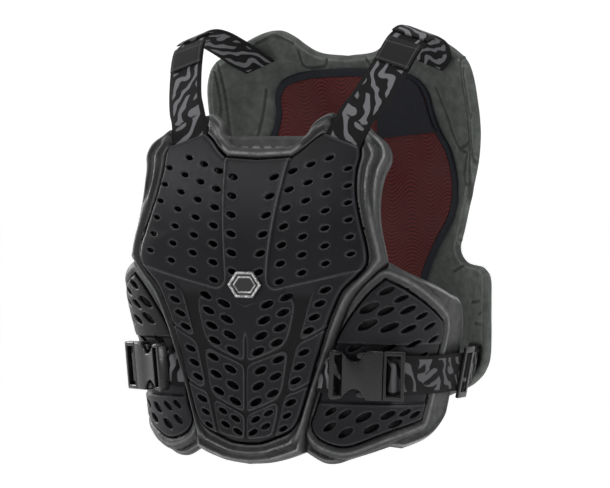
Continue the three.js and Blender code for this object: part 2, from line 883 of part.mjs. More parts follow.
function buckleTail(start, end, height, opening, lift, thickness) {
  const frame = solid(slab([
    new THREE.Vector2(start, -height / 2),
    new THREE.Vector2(end, -height / 2),
    new THREE.Vector2(end, height / 2),
    new THREE.Vector2(start, height / 2),
  ], lift, thickness, [], tailRound));
  const hollow = block(opening, [-openingHalf, openingHalf], [-thickness, lift + 2 * thickness]);
  const middle = (opening[0] + opening[1]) / 2;
  const bar = block([middle - barHalf, middle + barHalf], [-openingHalf - 1, openingHalf + 1],
    [lift, lift + thickness / 3]);
  return frame.subtract(solid(hollow)).add(solid(bar));
}

function buckleProng(side) {
  const middle = (socketStart + socketEnd) / 2;
  const edges = [prongOffset * side, (prongOffset + prongWidth) * side];
  return block([middle + fitGap, plugStart + buckleBar / 2], [Math.min(...edges), Math.max(...edges)],
    [prongLift, prongLift + prongThickness]);
}

function bucklePlug() {
  let body = buckleTail(plugStart, plugEnd, buckleHeight, plugOpening, plugLift, plugThickness);
  for (const side of [-1, 1]) {
    body = body.add(solid(buckleProng(side)));
  }
  return welded(faceted(body)).applyMatrix4(buckleFrame);
}

const sliderHalf = sliderLength / 2;
const sliderOpening = [-sliderHalf + buckleBar, sliderHalf - buckleBar];

function strapSlider() {
  const body = buckleTail(-sliderHalf, sliderHalf, sliderHeight, sliderOpening, 0, sliderThickness);
  return welded(faceted(body)).applyMatrix4(sliderFrame);
}

// The tab leaves its slot under the edge of the front foam and ends inside the socket's slot
function waistTab() {
  const start = seamGirthAt(waistStrapLevel) - tabTuck;
  const half = webbingWidth / 2;
  const slant = (seamGirthAt(waistStrapLevel + half) - seamGirthAt(waistStrapLevel - half)) / 2;
  const under = -webbingThickness - layGap;
  return ribbon([
    waistStation(front, start, tabLift, slant),
    waistStation(front, start + tabTuck, tabLift, slant),
    frameStation(buckleFrame, socketStart - 1, under),
    frameStation(buckleFrame, socketStart + socketBar + fitGap, under),
    frameStation(buckleFrame, socketStart + socketBar + socketSlot - 2 * fitGap, webbingThickness),
  ]);
}

const strapRise = 0.2;
const stationPitch = 15;

// Over the middle bar of a ladder frame, between its two outer bars
function overBar(frame, opening, lift, barTop) {
  const middle = (opening[0] + opening[1]) / 2;
  return [
    frameStation(frame, opening[0] - buckleBar, lift),
    frameStation(frame, opening[0] + fitGap, lift + strapRise),
    frameStation(frame, middle - barHalf, barTop),
    frameStation(frame, middle + barHalf, barTop),
    frameStation(frame, opening[1] - fitGap, lift + strapRise),
    frameStation(frame, opening[1] + buckleBar, lift),
  ];
}

function waistStrap() {
  const plugBarTop = plugLift + plugThickness / 3 + fitGap;
  const stations = overBar(buckleFrame, plugOpening, -fitGap, plugBarTop).slice(1);
  const firstLift = wingFoamThickness + layGap + fitGap;
  const firstGirth = buckleGirth + buckleLength / 2 + stationPitch;
  for (let girth = firstGirth; girth < sliderGirth - sliderLength; girth += stationPitch) {
    stations.push(waistStation(front, girth, firstLift));
  }
  const sliderBarTop = sliderThickness / 3 + fitGap;
  stations.push(...overBar(sliderFrame, sliderOpening, -webbingThickness - fitGap, sliderBarTop));
  const innerLift = -webbingThickness - layGap;
  const seamStart = backHalfGirth - webbingWidth / 2;
  const seamSteps = 3;
  for (let step = 0; step <= seamSteps; step += 1) {
    const girth = mix(seamStart, waistStrapSeam, step / seamSteps);
    stations.push(waistStation(back, -girth, innerLift));
  }
  return ribbon(stations);
}

// Shoulder route: shares of the way back, of the rise and of the way out from foot to crest
const shoulderRoute = [
  { back: 0.06, rise: 0.21, out: 0.18 },
  { back: 0.12, rise: 0.36, out: 0.43 },
  { back: 0.27, rise: 0.7, out: 0.8 },
  { back: 0.37, rise: 0.9, out: 0.95 },
  { back: 0.46, rise: 0.98, out: 1 },
  { back: 0.55, rise: 1, out: 1 },
  { back: 0.68, rise: 0.98, out: 0.95 },
  { back: 0.79, rise: 0.93, out: 0.85 },
  { back: 0.9, rise: 0.85, out: 0.64 },
];
const acrossShoulder = new THREE.Vector3(Math.cos(THREE.MathUtils.degToRad(shoulderStrapTilt)), 0,
  -Math.sin(THREE.MathUtils.degToRad(shoulderStrapTilt)));

function panelStation(surface, centre, across, lift, thickness) {
  const half = shoulderStrapWidth / 2;
  const inner = centre.clone().addScaledVector(across, -half);
  const outer = centre.clone().addScaledVector(across, half);
  return [
    surface.at(inner.x, inner.y, lift),
    surface.at(outer.x, outer.y, lift),
    surface.at(outer.x, outer.y, lift + thickness),
    surface.at(inner.x, inner.y, lift + thickness),
  ];
}

const footPoint = front.at(strapFootGirth, strapFootLevel, strapLift);
const heelPoint = back.at(-strapHeelGirth, strapHeelLevel, -strapThickness - layGap);

const routeCurve = new THREE.CatmullRomCurve3([
  footPoint,
  ...shoulderRoute.map((row) => new THREE.Vector3(
    mix(footPoint.x, crestHalfSpan, row.out),
    mix(footPoint.y, heelPoint.y, row.back),
    mix(footPoint.z, crestLevel, row.rise),
  )),
  heelPoint,
], false, "centripetal");

function routeStation(share, lift, thickness, halfWidth = shoulderStrapWidth / 2) {
  const point = routeCurve.getPoint(share);
  const along = routeCurve.getTangent(share);
  const outwards = acrossShoulder.clone().cross(along).normalize();
  const across = along.clone().cross(outwards).normalize();
  const raise = (side, rise) => point.clone().addScaledVector(across, side).addScaledVector(outwards, rise);
  return [
    raise(-halfWidth, lift),
    raise(halfWidth, lift),
    raise(halfWidth, lift + thickness),
    raise(-halfWidth, lift + thickness),
  ];
}

// Shares of the route's length
const frontStrapStart = 0.14;
const frontStrapEnd = 0.52;
const backStrapStart = 0.46;
const backStrapEnd = 0.9;
const patchStart = 0.3;
const patchInset = 1.5;
const strapLay = 6;

function routeStations(from, to, steps, lifts, thickness, halfWidth) {
  const stations = [];
  for (let step = 0; step <= steps; step += 1) {
    const share = step / steps;
    stations.push(routeStation(mix(from, to, share), mix(...lifts, share ** 2), thickness, halfWidth));
  }
  return stations;
}

function frontStrap() {
  const foot = strapFoot.clone().addScaledVector(strapUp, -strapTuck);
  const rise = strapFoot.clone().addScaledVector(strapUp, strapLay);
  return ribbon([
    panelStation(front, foot, strapAcross, strapLift, strapThickness),
    panelStation(front, rise, strapAcross, strapLift, strapThickness),
    ...routeStations(frontStrapStart, frontStrapEnd, 9, [0, 0], strapThickness),
  ]);
}

// The back strap lies on the front one at the crest and comes down to the panel's inner face
function backStrap() {
  const heel = new THREE.Vector2(-strapHeelGirth, strapHeelLevel);
  const across = new THREE.Vector2(-strapAcross.x, strapAcross.y);
  const crestLift = strapThickness + fitGap;
  return ribbon([
    ...routeStations(backStrapStart, backStrapEnd, 11, [crestLift, -layGap], strapThickness),
    panelStation(back, heel, across, -strapThickness - layGap, strapThickness),
  ]);
}

function strapPatch() {
  const share = patchLength / routeCurve.getLength();
  const lift = strapThickness + fitGap;
  return ribbon(routeStations(patchStart, patchStart + share, 3, [lift, lift], patchThickness,
    shoulderStrapWidth / 2 - patchInset));
}

const finish = (color, roughness, metalness = 0) => new THREE.MeshStandardMaterial({
  color, roughness, metalness, side: THREE.FrontSide,
});
const materials = {
  foam: finish(0x3a3d3e, 0.6),
  shell: finish(0x222226, 0.5),
  badge: finish(0xb4b6b8, 0.3, 1),
  backFoam: finish(0x4f5450, 0.7),
  mesh: finish(0x5a2628, 0.9),
  binding: finish(0x23262b, 0.85),
  webbing: finish(0x1f1f22, 0.85),
  patch: finish(0x18191b, 0.9),
  buckle: finish(0x1b1c1e, 0.35),
};

const group = new THREE.Group();
const chest = new THREE.Group();
chest.position.z = chestLine - crestLevel;
group.add(chest);

function place(name, geometry, material) {
  const mesh = new THREE.Mesh(geometry, material.clone());
  mesh.name = name;
  chest.add(mesh);
}

place("front_foam", frontFoam(), materials.foam);
place("front_plate", frontPlate(), materials.shell);
place("badge", badge(), materials.badge);
place("back_foam", backFoam(), materials.backFoam);
place("back_mesh", backMesh(), materials.mesh);
place("mesh_border", meshBorder(), materials.binding);
place("mesh_flap", meshFlap(), materials.binding);

const paired = [
  ["wing_foam", wingFoam(), materials.foam],
  ["wing_plate", wingPlate(), materials.shell],
  ["front_strap", frontStrap(), materials.webbing],
  ["back_strap", backStrap(), materials.webbing],
  ["strap_patch", strapPatch(), materials.patch],
  ["waist_tab", waistTab(), materials.webbing],
  ["buckle_socket", buckleSocket(), materials.buckle],
  ["buckle_plug", bucklePlug(), materials.buckle],
  ["waist_strap", waistStrap(), materials.webbing],
  ["strap_slider", strapSlider(), materials.buckle],
];
for (const [name, geometry, material] of paired) {
  place(`${name}_left`, geometry, material);
  place(`${name}_right`, mirrored(geometry), material);
}

export default group;
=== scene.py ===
import math

import bmesh
import bpy
import numpy as np
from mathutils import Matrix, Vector
from mathutils.geometry import delaunay_2d_cdt


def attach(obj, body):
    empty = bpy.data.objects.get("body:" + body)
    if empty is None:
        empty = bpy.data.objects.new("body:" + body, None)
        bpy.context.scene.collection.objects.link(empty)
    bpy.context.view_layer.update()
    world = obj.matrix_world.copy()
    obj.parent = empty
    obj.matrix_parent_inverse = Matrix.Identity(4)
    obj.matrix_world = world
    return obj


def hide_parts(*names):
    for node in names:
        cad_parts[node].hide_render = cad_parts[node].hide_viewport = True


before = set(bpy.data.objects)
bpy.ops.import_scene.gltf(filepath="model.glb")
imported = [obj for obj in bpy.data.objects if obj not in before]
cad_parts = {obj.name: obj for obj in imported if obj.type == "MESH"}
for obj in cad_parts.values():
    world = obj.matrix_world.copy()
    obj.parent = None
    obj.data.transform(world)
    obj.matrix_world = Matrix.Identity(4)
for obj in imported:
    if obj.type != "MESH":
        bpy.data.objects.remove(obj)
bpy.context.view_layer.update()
print("frame loaded")

# Lengths are in millimetres and heights start at the chest line; the origin is at the strap crests
crestLevel = 218
perMetre = 1000
farAway = 99.0  # stands for no edge nearby

# The torso that every panel is bent on: half widths, depths, and the levels between which they change
torso = {
    "chestHalfWidth": 176, "waistHalfWidth": 151, "chestDepth": 100, "flankDepth": 112,
    "chestSetback": 38, "chestSquareness": 4, "waistSquareness": 3, "bustLevel": -25,
    "clavicleLevel": 118, "squareSpan": 90, "waistSpan": 185,
    "backHalfWidth": 185, "shoulderHalfWidth": 173, "seatHalfWidth": 160, "backDepth": 124,
    "backSquareness": 3, "napeSetback": 55, "scapulaLevel": 70, "napeLevel": 228,
    "loinLevel": -105, "ribLevel": -40, "seatLevel": -195, "heelLevel": 190,
}


def ease(value):
    share = np.clip(value, 0, 1)
    return share * share * (3 - 2 * share)


def mix(low, high, share):
    return low + (high - low) * share


def unitPoint(angle, squareness):
    across = np.abs(np.sin(angle))
    along = np.abs(np.cos(angle))
    reach = (across ** squareness + along ** squareness) ** (-1 / squareness)
    return reach * np.sin(angle), reach * np.cos(angle)


def frontSection(angle, height):
    below = torso["bustLevel"] - height
    squareness = mix(torso["chestSquareness"], torso["waistSquareness"], ease(below / torso["squareSpan"]))
    halfWidth = mix(torso["chestHalfWidth"], torso["waistHalfWidth"], ease(below / torso["waistSpan"]))
    rise = np.maximum(0, -below / (torso["clavicleLevel"] - torso["bustLevel"]))
    depth = torso["chestDepth"] - torso["chestSetback"] * rise ** 2
    across, along = unitPoint(angle, squareness)
    reach = np.where(along > 0, depth, torso["flankDepth"])
    return np.stack([halfWidth * across, -reach * along, height + 0 * across], axis=-1)


def backSection(angle, height):
    toShoulder = ease((height - torso["ribLevel"]) / (torso["heelLevel"] - torso["ribLevel"]))
    toSeat = ease((torso["loinLevel"] - height) / (torso["loinLevel"] - torso["seatLevel"]))
    upper = mix(torso["backHalfWidth"], torso["shoulderHalfWidth"], toShoulder)
    lower = mix(torso["backHalfWidth"], torso["seatHalfWidth"], toSeat)
    halfWidth = np.where(height > torso["loinLevel"], upper, lower)
    rise = np.maximum(0, (height - torso["scapulaLevel"]) / (torso["napeLevel"] - torso["scapulaLevel"]))
    depth = torso["backDepth"] - torso["napeSetback"] * rise ** 2
    across, along = unitPoint(angle, torso["backSquareness"])
    return np.stack([-halfWidth * across, depth * along, height + 0 * across], axis=-1)


bending = {"angles": 721, "furthest": 0.7 * math.pi, "probe": 0.5}


def makeGuide(section, level):
    angles = np.linspace(0, bending["furthest"], bending["angles"])
    ring = section(angles, np.full(len(angles), float(level)))
    steps = np.linalg.norm(np.diff(ring, axis=0), axis=1)
    return {"section": section, "angles": angles, "girths": np.concatenate([[0], np.cumsum(steps)])}


front = makeGuide(frontSection, torso["bustLevel"])
back = makeGuide(backSection, torso["ribLevel"])


def skinAt(guide, girth, height):
    angle = np.sign(girth) * np.interp(np.abs(girth), guide["girths"], guide["angles"])
    return guide["section"](angle, height)


# Girth and height lie on the torso's skin, and lift stands off it along the normal
def bentTo(guide, girth, height, lift):
    girth = np.asarray(girth, float)
    height = np.asarray(height, float)
    probe = bending["probe"]
    sideways = skinAt(guide, girth + probe, height) - skinAt(guide, girth - probe, height)
    upwards = skinAt(guide, girth, height + probe) - skinAt(guide, girth, height - probe)
    normal = np.cross(sideways, upwards)
    normal /= np.linalg.norm(normal, axis=-1, keepdims=True)
    return skinAt(guide, girth, height) + normal * np.asarray(lift, float)[..., None]


def toScene(points):
    placed = np.array(points, float)
    placed[..., 2] -= crestLevel
    return placed / perMetre


# Outlines: a row holds shares of the half girth and of the height from hem to top,
# and a third value where the outline has a corner
def curveThrough(points, steps):
    points = [np.array(p, float) for p in points]
    made = []
    last = len(points) - 1
    for index in range(last):
        one, two = points[index], points[index + 1]
        zero = points[index - 1] if index > 0 else 2 * one - two
        three = points[index + 2] if index + 2 <= last else 2 * two - one
        before, gap, after = [max(np.linalg.norm(b - a) ** 0.5, 1e-4)
                              for a, b in ((zero, one), (one, two), (two, three))]
        startSlope = (one - zero) / before - (two - zero) / (before + gap) + (two - one) / gap
        endSlope = (two - one) / gap - (three - one) / (gap + after) + (three - two) / after
        for step in range(steps):
            t = step / steps
            made.append(one * (2 * t ** 3 - 3 * t ** 2 + 1) + two * (3 * t ** 2 - 2 * t ** 3)
                        + startSlope * gap * (t ** 3 - 2 * t ** 2 + t) + endSlope * gap * (t ** 3 - t ** 2))
    made.append(points[-1])
    return np.array(made)


def smoothOutline(rows, steps=10):
    corners = [index for index, row in enumerate(rows) if len(row) > 2]
    made = []
    for turn, start in enumerate(corners):
        end = corners[(turn + 1) % len(corners)]
        span = [rows[start][:2]]
        index = (start + 1) % len(rows)
        while True:
            span.append(rows[index][:2])
            if index == end:
                break
            index = (index + 1) % len(rows)
        if len(span) == 2:
            made.append(np.array(span[:1], float))
        else:
            made.append(curveThrough(span, steps)[:-1])
    return np.concatenate(made)


def scaledRows(rows, halfGirth, hem, top):
    return [(row[0] * halfGirth, mix(hem, top, row[1])) + tuple(row[2:]) for row in rows]


def mirroredRows(rows):
    return rows + [(-row[0],) + tuple(row[1:]) for row in reversed(rows) if row[0] > 0]


def evenly(outline, spacing):
    closed = np.concatenate([outline, outline[:1]])
    made = []
    for start, end in zip(closed[:-1], closed[1:]):
        count = max(1, int(round(np.linalg.norm(end - start) / spacing)))
        made += [mix(start, end, step / count) for step in range(count)]
    return np.array(made)


def edgeDistance(points, outline, batch=4000):
    closed = np.concatenate([outline, outline[:1]])
    start, end = closed[:-1], closed[1:]
    span = end - start
    size = np.maximum((span ** 2).sum(1), 1e-9)
    best = np.zeros(len(points))
    for low in range(0, len(points), batch):
        part = points[low:low + batch]
        share = np.clip(((part[:, None] - start) * span).sum(2) / size, 0, 1)
        gap = part[:, None] - (start + share[..., None] * span)
        best[low:low + batch] = np.sqrt((gap ** 2).sum(2).min(1))
    return best


def inside(points, outline):
    closed = np.concatenate([outline, outline[:1]])
    held = np.zeros(len(points), bool)
    for start, end in zip(closed[:-1], closed[1:]):
        if start[1] == end[1]:
            continue
        crosses = (start[1] > points[:, 1]) != (end[1] > points[:, 1])
        at = start[0] + (points[:, 1] - start[1]) * (end[0] - start[0]) / (end[1] - start[1])
        held ^= crosses & (points[:, 0] < at)
    return held


def depthInside(points, outline):
    return edgeDistance(points, outline) * np.where(inside(points, outline), 1, -1)


def grown(outline, distance):
    before = np.roll(outline, 1, axis=0)
    after = np.roll(outline, -1, axis=0)
    first = outline - before
    second = after - outline
    first /= np.maximum(np.linalg.norm(first, axis=1, keepdims=True), 1e-9)
    second /= np.maximum(np.linalg.norm(second, axis=1, keepdims=True), 1e-9)
    normal = np.stack([first[:, 1] + second[:, 1], -first[:, 0] - second[:, 0]], axis=1)
    normal /= np.maximum(np.linalg.norm(normal, axis=1, keepdims=True), 1e-9)
    spread = np.maximum(0.5, (normal * np.stack([first[:, 1], -first[:, 0]], axis=1)).sum(1))
    return outline + normal * (distance / spread)[:, None]


# How far the free points of a sheet keep off edges and holes in shares of the spacing, and off lines in mm
meshing = {
    "rowShare": 0.87, "edgeClear": 0.5, "ringClear": 0.4, "holeClear": 0.4, "ringKeep": 0.9, "lineClear": 0.6,
    "weld": 1e-6, "slimmest": 1e-7,
}


def cutSheet(outline, holes, spacing, edgeRings=(), extraLines=()):
    loops = [outline] + list(holes)
    low, high = outline.min(0), outline.max(0)
    rows = np.arange(low[1], high[1], spacing * meshing["rowShare"])
    grid = np.array([(x + (row % 2) * spacing / 2, y) for row, y in enumerate(rows)
                     for x in np.arange(low[0], high[0], spacing)])
    grid = grid[inside(grid, outline)]
    for hole in holes:
        near = (np.abs(grid - hole.mean(0)) < np.ptp(hole, axis=0) / 2 + spacing).all(1)
        gap = np.full(len(grid), farAway)
        if near.any():
            gap[near] = -depthInside(grid[near], hole)
        grid = grid[gap > spacing * meshing["holeClear"]]
    clear = [ring + spacing * meshing["ringClear"] for ring in edgeRings]
    grid = grid[edgeDistance(grid, outline) > max([spacing * meshing["edgeClear"]] + clear)]
    free = [grid]
    for ring in edgeRings:
        loop = grown(outline, -ring)
        free.append(loop[(edgeDistance(loop, outline) > ring * meshing["ringKeep"]) & inside(loop, outline)])
    for line in extraLines:
        line = line[inside(line, outline) & (edgeDistance(line, outline) > spacing * meshing["edgeClear"])]
        for hole in holes:
            line = line[depthInside(line, hole) < -meshing["lineClear"]]
        free.append(line)
    points = np.concatenate(loops + free)
    constraints = []
    offset = 0
    for loop in loops:
        count = len(loop)
        constraints += [(offset + index, offset + (index + 1) % count) for index in range(count)]
        offset += count
    made = delaunay_2d_cdt([Vector(p) for p in points], constraints, [], 0, meshing["weld"])
    coords = np.array([tuple(v) for v in made[0]])
    faces = np.array([tuple(f) for f in made[2]])
    centres = coords[faces].mean(1)
    keep = inside(centres, outline)
    for hole in holes:
        near = (np.abs(centres - hole.mean(0)) < np.ptp(hole, axis=0)).all(1) & keep
        where = np.flatnonzero(near)
        keep[where[inside(centres[where], hole)]] = False
    faces = faces[keep]
    one, two, three = (coords[faces[:, corner]] for corner in range(3))
    first, second = two - one, three - one
    turn = first[:, 0] * second[:, 1] - first[:, 1] * second[:, 0]
    whole = np.abs(turn) > meshing["slimmest"]
    faces, turn = faces[whole], turn[whole]
    faces[turn < 0] = faces[turn < 0][:, ::-1]
    used, packed = np.unique(faces, return_inverse=True)
    return coords[used], packed.reshape(-1, 3)


def newObject(name, points, faces, material, smoothAngle=50, flat=None, crest=None):
    mesh = bpy.data.meshes.new(name)
    mesh.from_pydata([tuple(p) for p in points], [], [tuple(int(i) for i in f) for f in faces])
    mesh.validate()
    if flat is not None:
        layer = mesh.uv_layers.new(name="flat")
        corners = np.zeros(len(mesh.loops), int)
        mesh.loops.foreach_get("vertex_index", corners)
        layer.data.foreach_set("uv", np.asarray(flat, float)[corners].ravel())
    if crest is not None:
        mesh.attributes.new("crest", "FLOAT", "POINT").data.foreach_set("value", np.asarray(crest, float))
    mesh.shade_smooth()
    mesh.set_sharp_from_angle(angle=math.radians(smoothAngle))
    made = bpy.data.objects.new(name, mesh)
    bpy.context.scene.collection.objects.link(made)
    made.data.materials.append(material)
    return made


# A shell between two lifts over the guide, closed by walls along its border; crest colours its upper side
def bentShell(name, sheet, guide, topLift, underLift, material, crest=None, side=1):
    coords, faces = sheet
    count = len(coords)
    upper = bentTo(guide, coords[:, 0], coords[:, 1], topLift)
    lower = bentTo(guide, coords[:, 0], coords[:, 1], underLift)
    points = toScene(np.concatenate([upper, lower]))
    edges = {}
    for a, b, c in faces:
        for pair in ((a, b), (b, c), (c, a)):
            edges[pair] = True
    border = [pair for pair in edges if (pair[1], pair[0]) not in edges]
    walls = [(b, a, a + count, b + count) for a, b in border]
    solid = [tuple(f) for f in faces] + [tuple(count + i for i in f[::-1]) for f in faces] + walls
    flat = np.concatenate([coords, coords]) / perMetre
    crests = np.zeros(2 * count)
    if crest is not None:
        crests[:count] = crest
    if side < 0:
        points[:, 0] *= -1
        flat[:, 0] *= -1
        solid = [f[::-1] for f in solid]
    return newObject(name, points, solid, material, flat=flat, crest=crests)


def roundedDrop(distance, radius):
    near = np.clip(radius - distance, 0, radius)
    return radius - np.sqrt(np.maximum(radius ** 2 - near ** 2, 0))


def hump(value, middle, width):
    return np.exp(-((value - middle) / width) ** 2)


def lineDistance(points, line):
    best = np.full(len(points), farAway)
    for start, end in zip(line[:-1], line[1:]):
        start, end = np.array(start, float), np.array(end, float)
        span = end - start
        share = np.clip(((points - start) @ span) / max(span @ span, 1e-9), 0, 1)
        best = np.minimum(best, np.linalg.norm(points - start - share[:, None] * span, axis=1))
    return best


def rising(value, start, run):
    return ease((value - start) / run)


def falling(value, start, run):
    return ease((start - value) / run)


# Each row holds the strength, the place and the width of a ridge; a negative strength makes a dent
def ridges(value, rows):
    return sum(strength * hump(value, place, width) for strength, place, width in rows)


def roundRoll(distance, place, half):
    return np.sqrt(np.clip(1 - ((distance - place) / half) ** 2, 0, 1))


def foldedOver(coords):
    return np.abs(coords * (1, 0)) + coords * (0, 1)


ripples = {"layers": 5, "turn": 2.4, "finer": 0.3, "shift": 1.7}


def waves(coords, size, seed):
    x, y = coords[:, 0] / size, coords[:, 1] / size
    total = np.zeros(len(coords))
    for layer in range(ripples["layers"]):
        angle = seed + ripples["turn"] * layer
        finer = 1 + ripples["finer"] * layer
        total += np.sin(x * math.cos(angle) * finer + y * math.sin(angle) * finer + ripples["shift"] * angle)
    return total / ripples["layers"]


# Materials: crest is the attribute from -1, painted shade in a hollow, to 1, a worn edge with a painted
# highlight; on the badge it marks bare metal
class Nodes:
    def __init__(self, name):
        self.material = bpy.data.materials.new(name)
        self.material.use_nodes = True
        self.tree = self.material.node_tree
        self.shader = self.tree.nodes["Principled BSDF"]

    def add(self, kind, **values):
        node = self.tree.nodes.new(kind)
        for key, value in values.items():
            if hasattr(node, key):
                setattr(node, key, value)
            else:
                node.inputs[key].default_value = value
        return node

    def link(self, source, target):
        self.tree.links.new(source, target)

    def ramp(self, source, stops):
        node = self.tree.nodes.new("ShaderNodeValToRGB")
        while len(node.color_ramp.elements) < len(stops):
            node.color_ramp.elements.new(0.5)
        for element, (place, shade) in zip(node.color_ramp.elements, stops):
            element.position = place
            element.color = (*shade, 1) if hasattr(shade, "__len__") else (shade, shade, shade, 1)
        self.link(source, node.inputs["Fac"])
        return node.outputs["Color"]

    def math(self, operation, first, second=None, third=None):
        node = self.add("ShaderNodeMath", operation=operation)
        for socket, value in zip(node.inputs, (first, second, third)):
            if value is None:
                continue
            if isinstance(value, (int, float)):
                socket.default_value = value
            else:
                self.link(value, socket)
        return node.outputs[0]

    def blendColor(self, share, first, second, kind="MIX"):
        node = self.tree.nodes.new("ShaderNodeMix")
        node.data_type = "RGBA"
        node.blend_type = kind
        for socket, value in ((node.inputs[0], share), (node.inputs[6], first), (node.inputs[7], second)):
            if hasattr(value, "links"):
                self.link(value, socket)
            elif hasattr(value, "__len__"):
                socket.default_value = (*value, 1)
            else:
                socket.default_value = value
        return node.outputs[2]

    def bump(self, height, depth, strength=1.0, after=None):
        node = self.add("ShaderNodeBump", Strength=strength, Distance=depth)
        self.link(height, node.inputs["Height"])
        if after is not None:
            self.link(after, node.inputs["Normal"])
        return node.outputs["Normal"]

    def noise(self, coordinates, scale, detail=3.0, roughness=0.5):
        node = self.add("ShaderNodeTexNoise", Scale=scale, Detail=detail, Roughness=roughness)
        self.link(coordinates, node.inputs["Vector"])
        return node.outputs["Fac"]

    def place(self):
        return self.add("ShaderNodeTexCoord").outputs["Object"]

    def flat(self):
        node = self.add("ShaderNodeUVMap")
        node.uv_map = "flat"
        return node.outputs["UV"]

    def crest(self):
        node = self.add("ShaderNodeAttribute")
        node.attribute_name = "crest"
        return node.outputs["Fac"]

    # Splits crest into worn edges with painted highlights, and painted shade
    def wornAndHollow(self):
        worn = self.math("MAXIMUM", self.crest(), 0.0)
        return worn, self.math("MAXIMUM", self.math("MULTIPLY", self.crest(), -1.0), 0.0)

    def parts(self, vector):
        node = self.add("ShaderNodeSeparateXYZ")
        self.link(vector, node.inputs[0])
        return node.outputs[0], node.outputs[1]

    def sine(self, source, pitch):
        return self.math("SINE", self.math("MULTIPLY", source, 2 * math.pi / pitch))

    def bands(self, source, pitch):
        return self.math("MULTIPLY_ADD", self.sine(source, pitch), 0.5, 0.5)


# Values that both foams share: noise ranges, how far the noises sway gloss, wear with painted highlights, and
# dents, and how strongly painted shade darkens hollows
foamGrain = {
    "toneRange": (0.36, 0.68), "wearSize": 140, "wearStops": [(0.3, 0.35), (0.7, 1.0)], "hollowShare": 0.9,
    "glossRange": (0.35, 0.7), "duller": 0.1, "shinier": 0.08, "grainStrength": 0.55,
    "dentDepth": 0.0012, "dentStrength": 0.35,
}
# In both foam looks the palest colour paints worn edges and painted highlights, and the darkest paints shade
# in hollows and grooves
foamLook = {
    "dark": (0.017, 0.0173, 0.0177), "light": (0.03, 0.0305, 0.031), "worn": (0.3, 0.302, 0.302),
    "hollow": (0.002, 0.002, 0.002), "specular": 0.3, "roughness": 0.46,
    "grainSize": 900, "grainDepth": 0.00035, "mottleSize": 110,
}
backLook = {
    "dark": (0.048, 0.053, 0.049), "light": (0.082, 0.09, 0.083), "worn": (0.25, 0.26, 0.245),
    "hollow": (0.02, 0.023, 0.02), "specular": 0.2, "roughness": 0.68,
    "grainSize": 800, "grainDepth": 0.0003, "mottleSize": 85,
}


def foamMaterial(name, look):
    nodes = Nodes(name)
    place = nodes.place()
    mottle = nodes.noise(place, look["mottleSize"], detail=5, roughness=0.65)
    fine = nodes.noise(place, look["grainSize"], detail=3, roughness=0.6)
    dark, light = foamGrain["toneRange"]
    tone = nodes.ramp(mottle, [(dark, look["dark"]), (light, look["light"])])
    # Worn edges with painted highlights lighten the foam, painted shade darkens its hollows
    worn, hollow = nodes.wornAndHollow()
    wear = nodes.noise(place, foamGrain["wearSize"], detail=4, roughness=0.7)
    wearAndHighlightMask = nodes.math("MULTIPLY", worn, nodes.ramp(wear, foamGrain["wearStops"]))
    toned = nodes.blendColor(nodes.math("MULTIPLY", hollow, foamGrain["hollowShare"]), tone, look["hollow"])
    nodes.link(nodes.blendColor(wearAndHighlightMask, toned, look["worn"]), nodes.shader.inputs["Base Color"])
    low, high = foamGrain["glossRange"]
    gloss = nodes.ramp(mottle, [(low, look["roughness"] + foamGrain["duller"]),
                                (high, look["roughness"] - foamGrain["shinier"])])
    nodes.link(gloss, nodes.shader.inputs["Roughness"])
    pores = nodes.bump(fine, look["grainDepth"], foamGrain["grainStrength"])
    dents = nodes.bump(mottle, foamGrain["dentDepth"], foamGrain["dentStrength"], pores)
    nodes.link(dents, nodes.shader.inputs["Normal"])
    nodes.shader.inputs["Specular IOR Level"].default_value = look["specular"]
    return nodes.material


plateLook = {
    "color": (0.0058, 0.0053, 0.0064), "sheen": (0.0125, 0.0108, 0.0145), "sheenSize": 9,
    # The edge colour paints worn edges and painted highlights; the near-black colour after it paints shade in
    # grooves
    "sheenStops": [(0.35, 0.0), (0.7, 0.8)], "edge": (0.11, 0.11, 0.115), "edgeShare": 0.6,
    "hollow": (0.002, 0.002, 0.0022), "hollowShare": 0.85, "roughness": 0.42, "specular": 0.16,
    "scuffSize": 260, "scuffRange": (0.3, 0.75), "duller": 0.08, "shinier": 0.05,
    "grainSize": 1400, "grainDepth": 0.00012, "grainStrength": 0.5,
}


def plateMaterial(name, look):
    nodes = Nodes(name)
    place = nodes.place()
    cloud = nodes.noise(place, look["sheenSize"], detail=2, roughness=0.5)
    fine = nodes.noise(place, look["grainSize"], detail=2, roughness=0.6)
    color = nodes.blendColor(nodes.ramp(cloud, look["sheenStops"]), look["color"], look["sheen"])
    # Worn edges and painted highlights lighten the plate, painted shade darkens its grooves
    worn, hollow = nodes.wornAndHollow()
    edged = nodes.blendColor(nodes.math("MULTIPLY", worn, look["edgeShare"]), color, look["edge"])
    shaded = nodes.blendColor(nodes.math("MULTIPLY", hollow, look["hollowShare"]), edged, look["hollow"])
    nodes.link(shaded, nodes.shader.inputs["Base Color"])
    scuffs = nodes.noise(place, look["scuffSize"], detail=4, roughness=0.7)
    low, high = look["scuffRange"]
    gloss = nodes.ramp(scuffs, [(low, look["roughness"] - look["shinier"]),
                                (high, look["roughness"] + look["duller"])])
    nodes.link(gloss, nodes.shader.inputs["Roughness"])
    nodes.link(nodes.bump(fine, look["grainDepth"], look["grainStrength"]), nodes.shader.inputs["Normal"])
    nodes.shader.inputs["Specular IOR Level"].default_value = look["specular"]
    return nodes.material


meshLook = {
    "thread": (0.125, 0.021, 0.02), "valley": (0.035, 0.01, 0.011), "toneRange": (0.1, 0.85),
    "ripplePitch": 0.0042, "rippleShare": 0.7, "knitPitch": 0.0016, "knitShare": 0.5,
    "swingPitch": 0.052, "swing": 0.0075, "wanderSize": 18, "wander": 0.012,
    "dust": (0.08, 0.034, 0.031), "dustSize": 22, "dustStops": [(0.35, 0.0), (0.75, 0.45)],
    "depth": 0.0006, "strength": 0.8, "roughness": 0.8, "specular": 0.15,
}


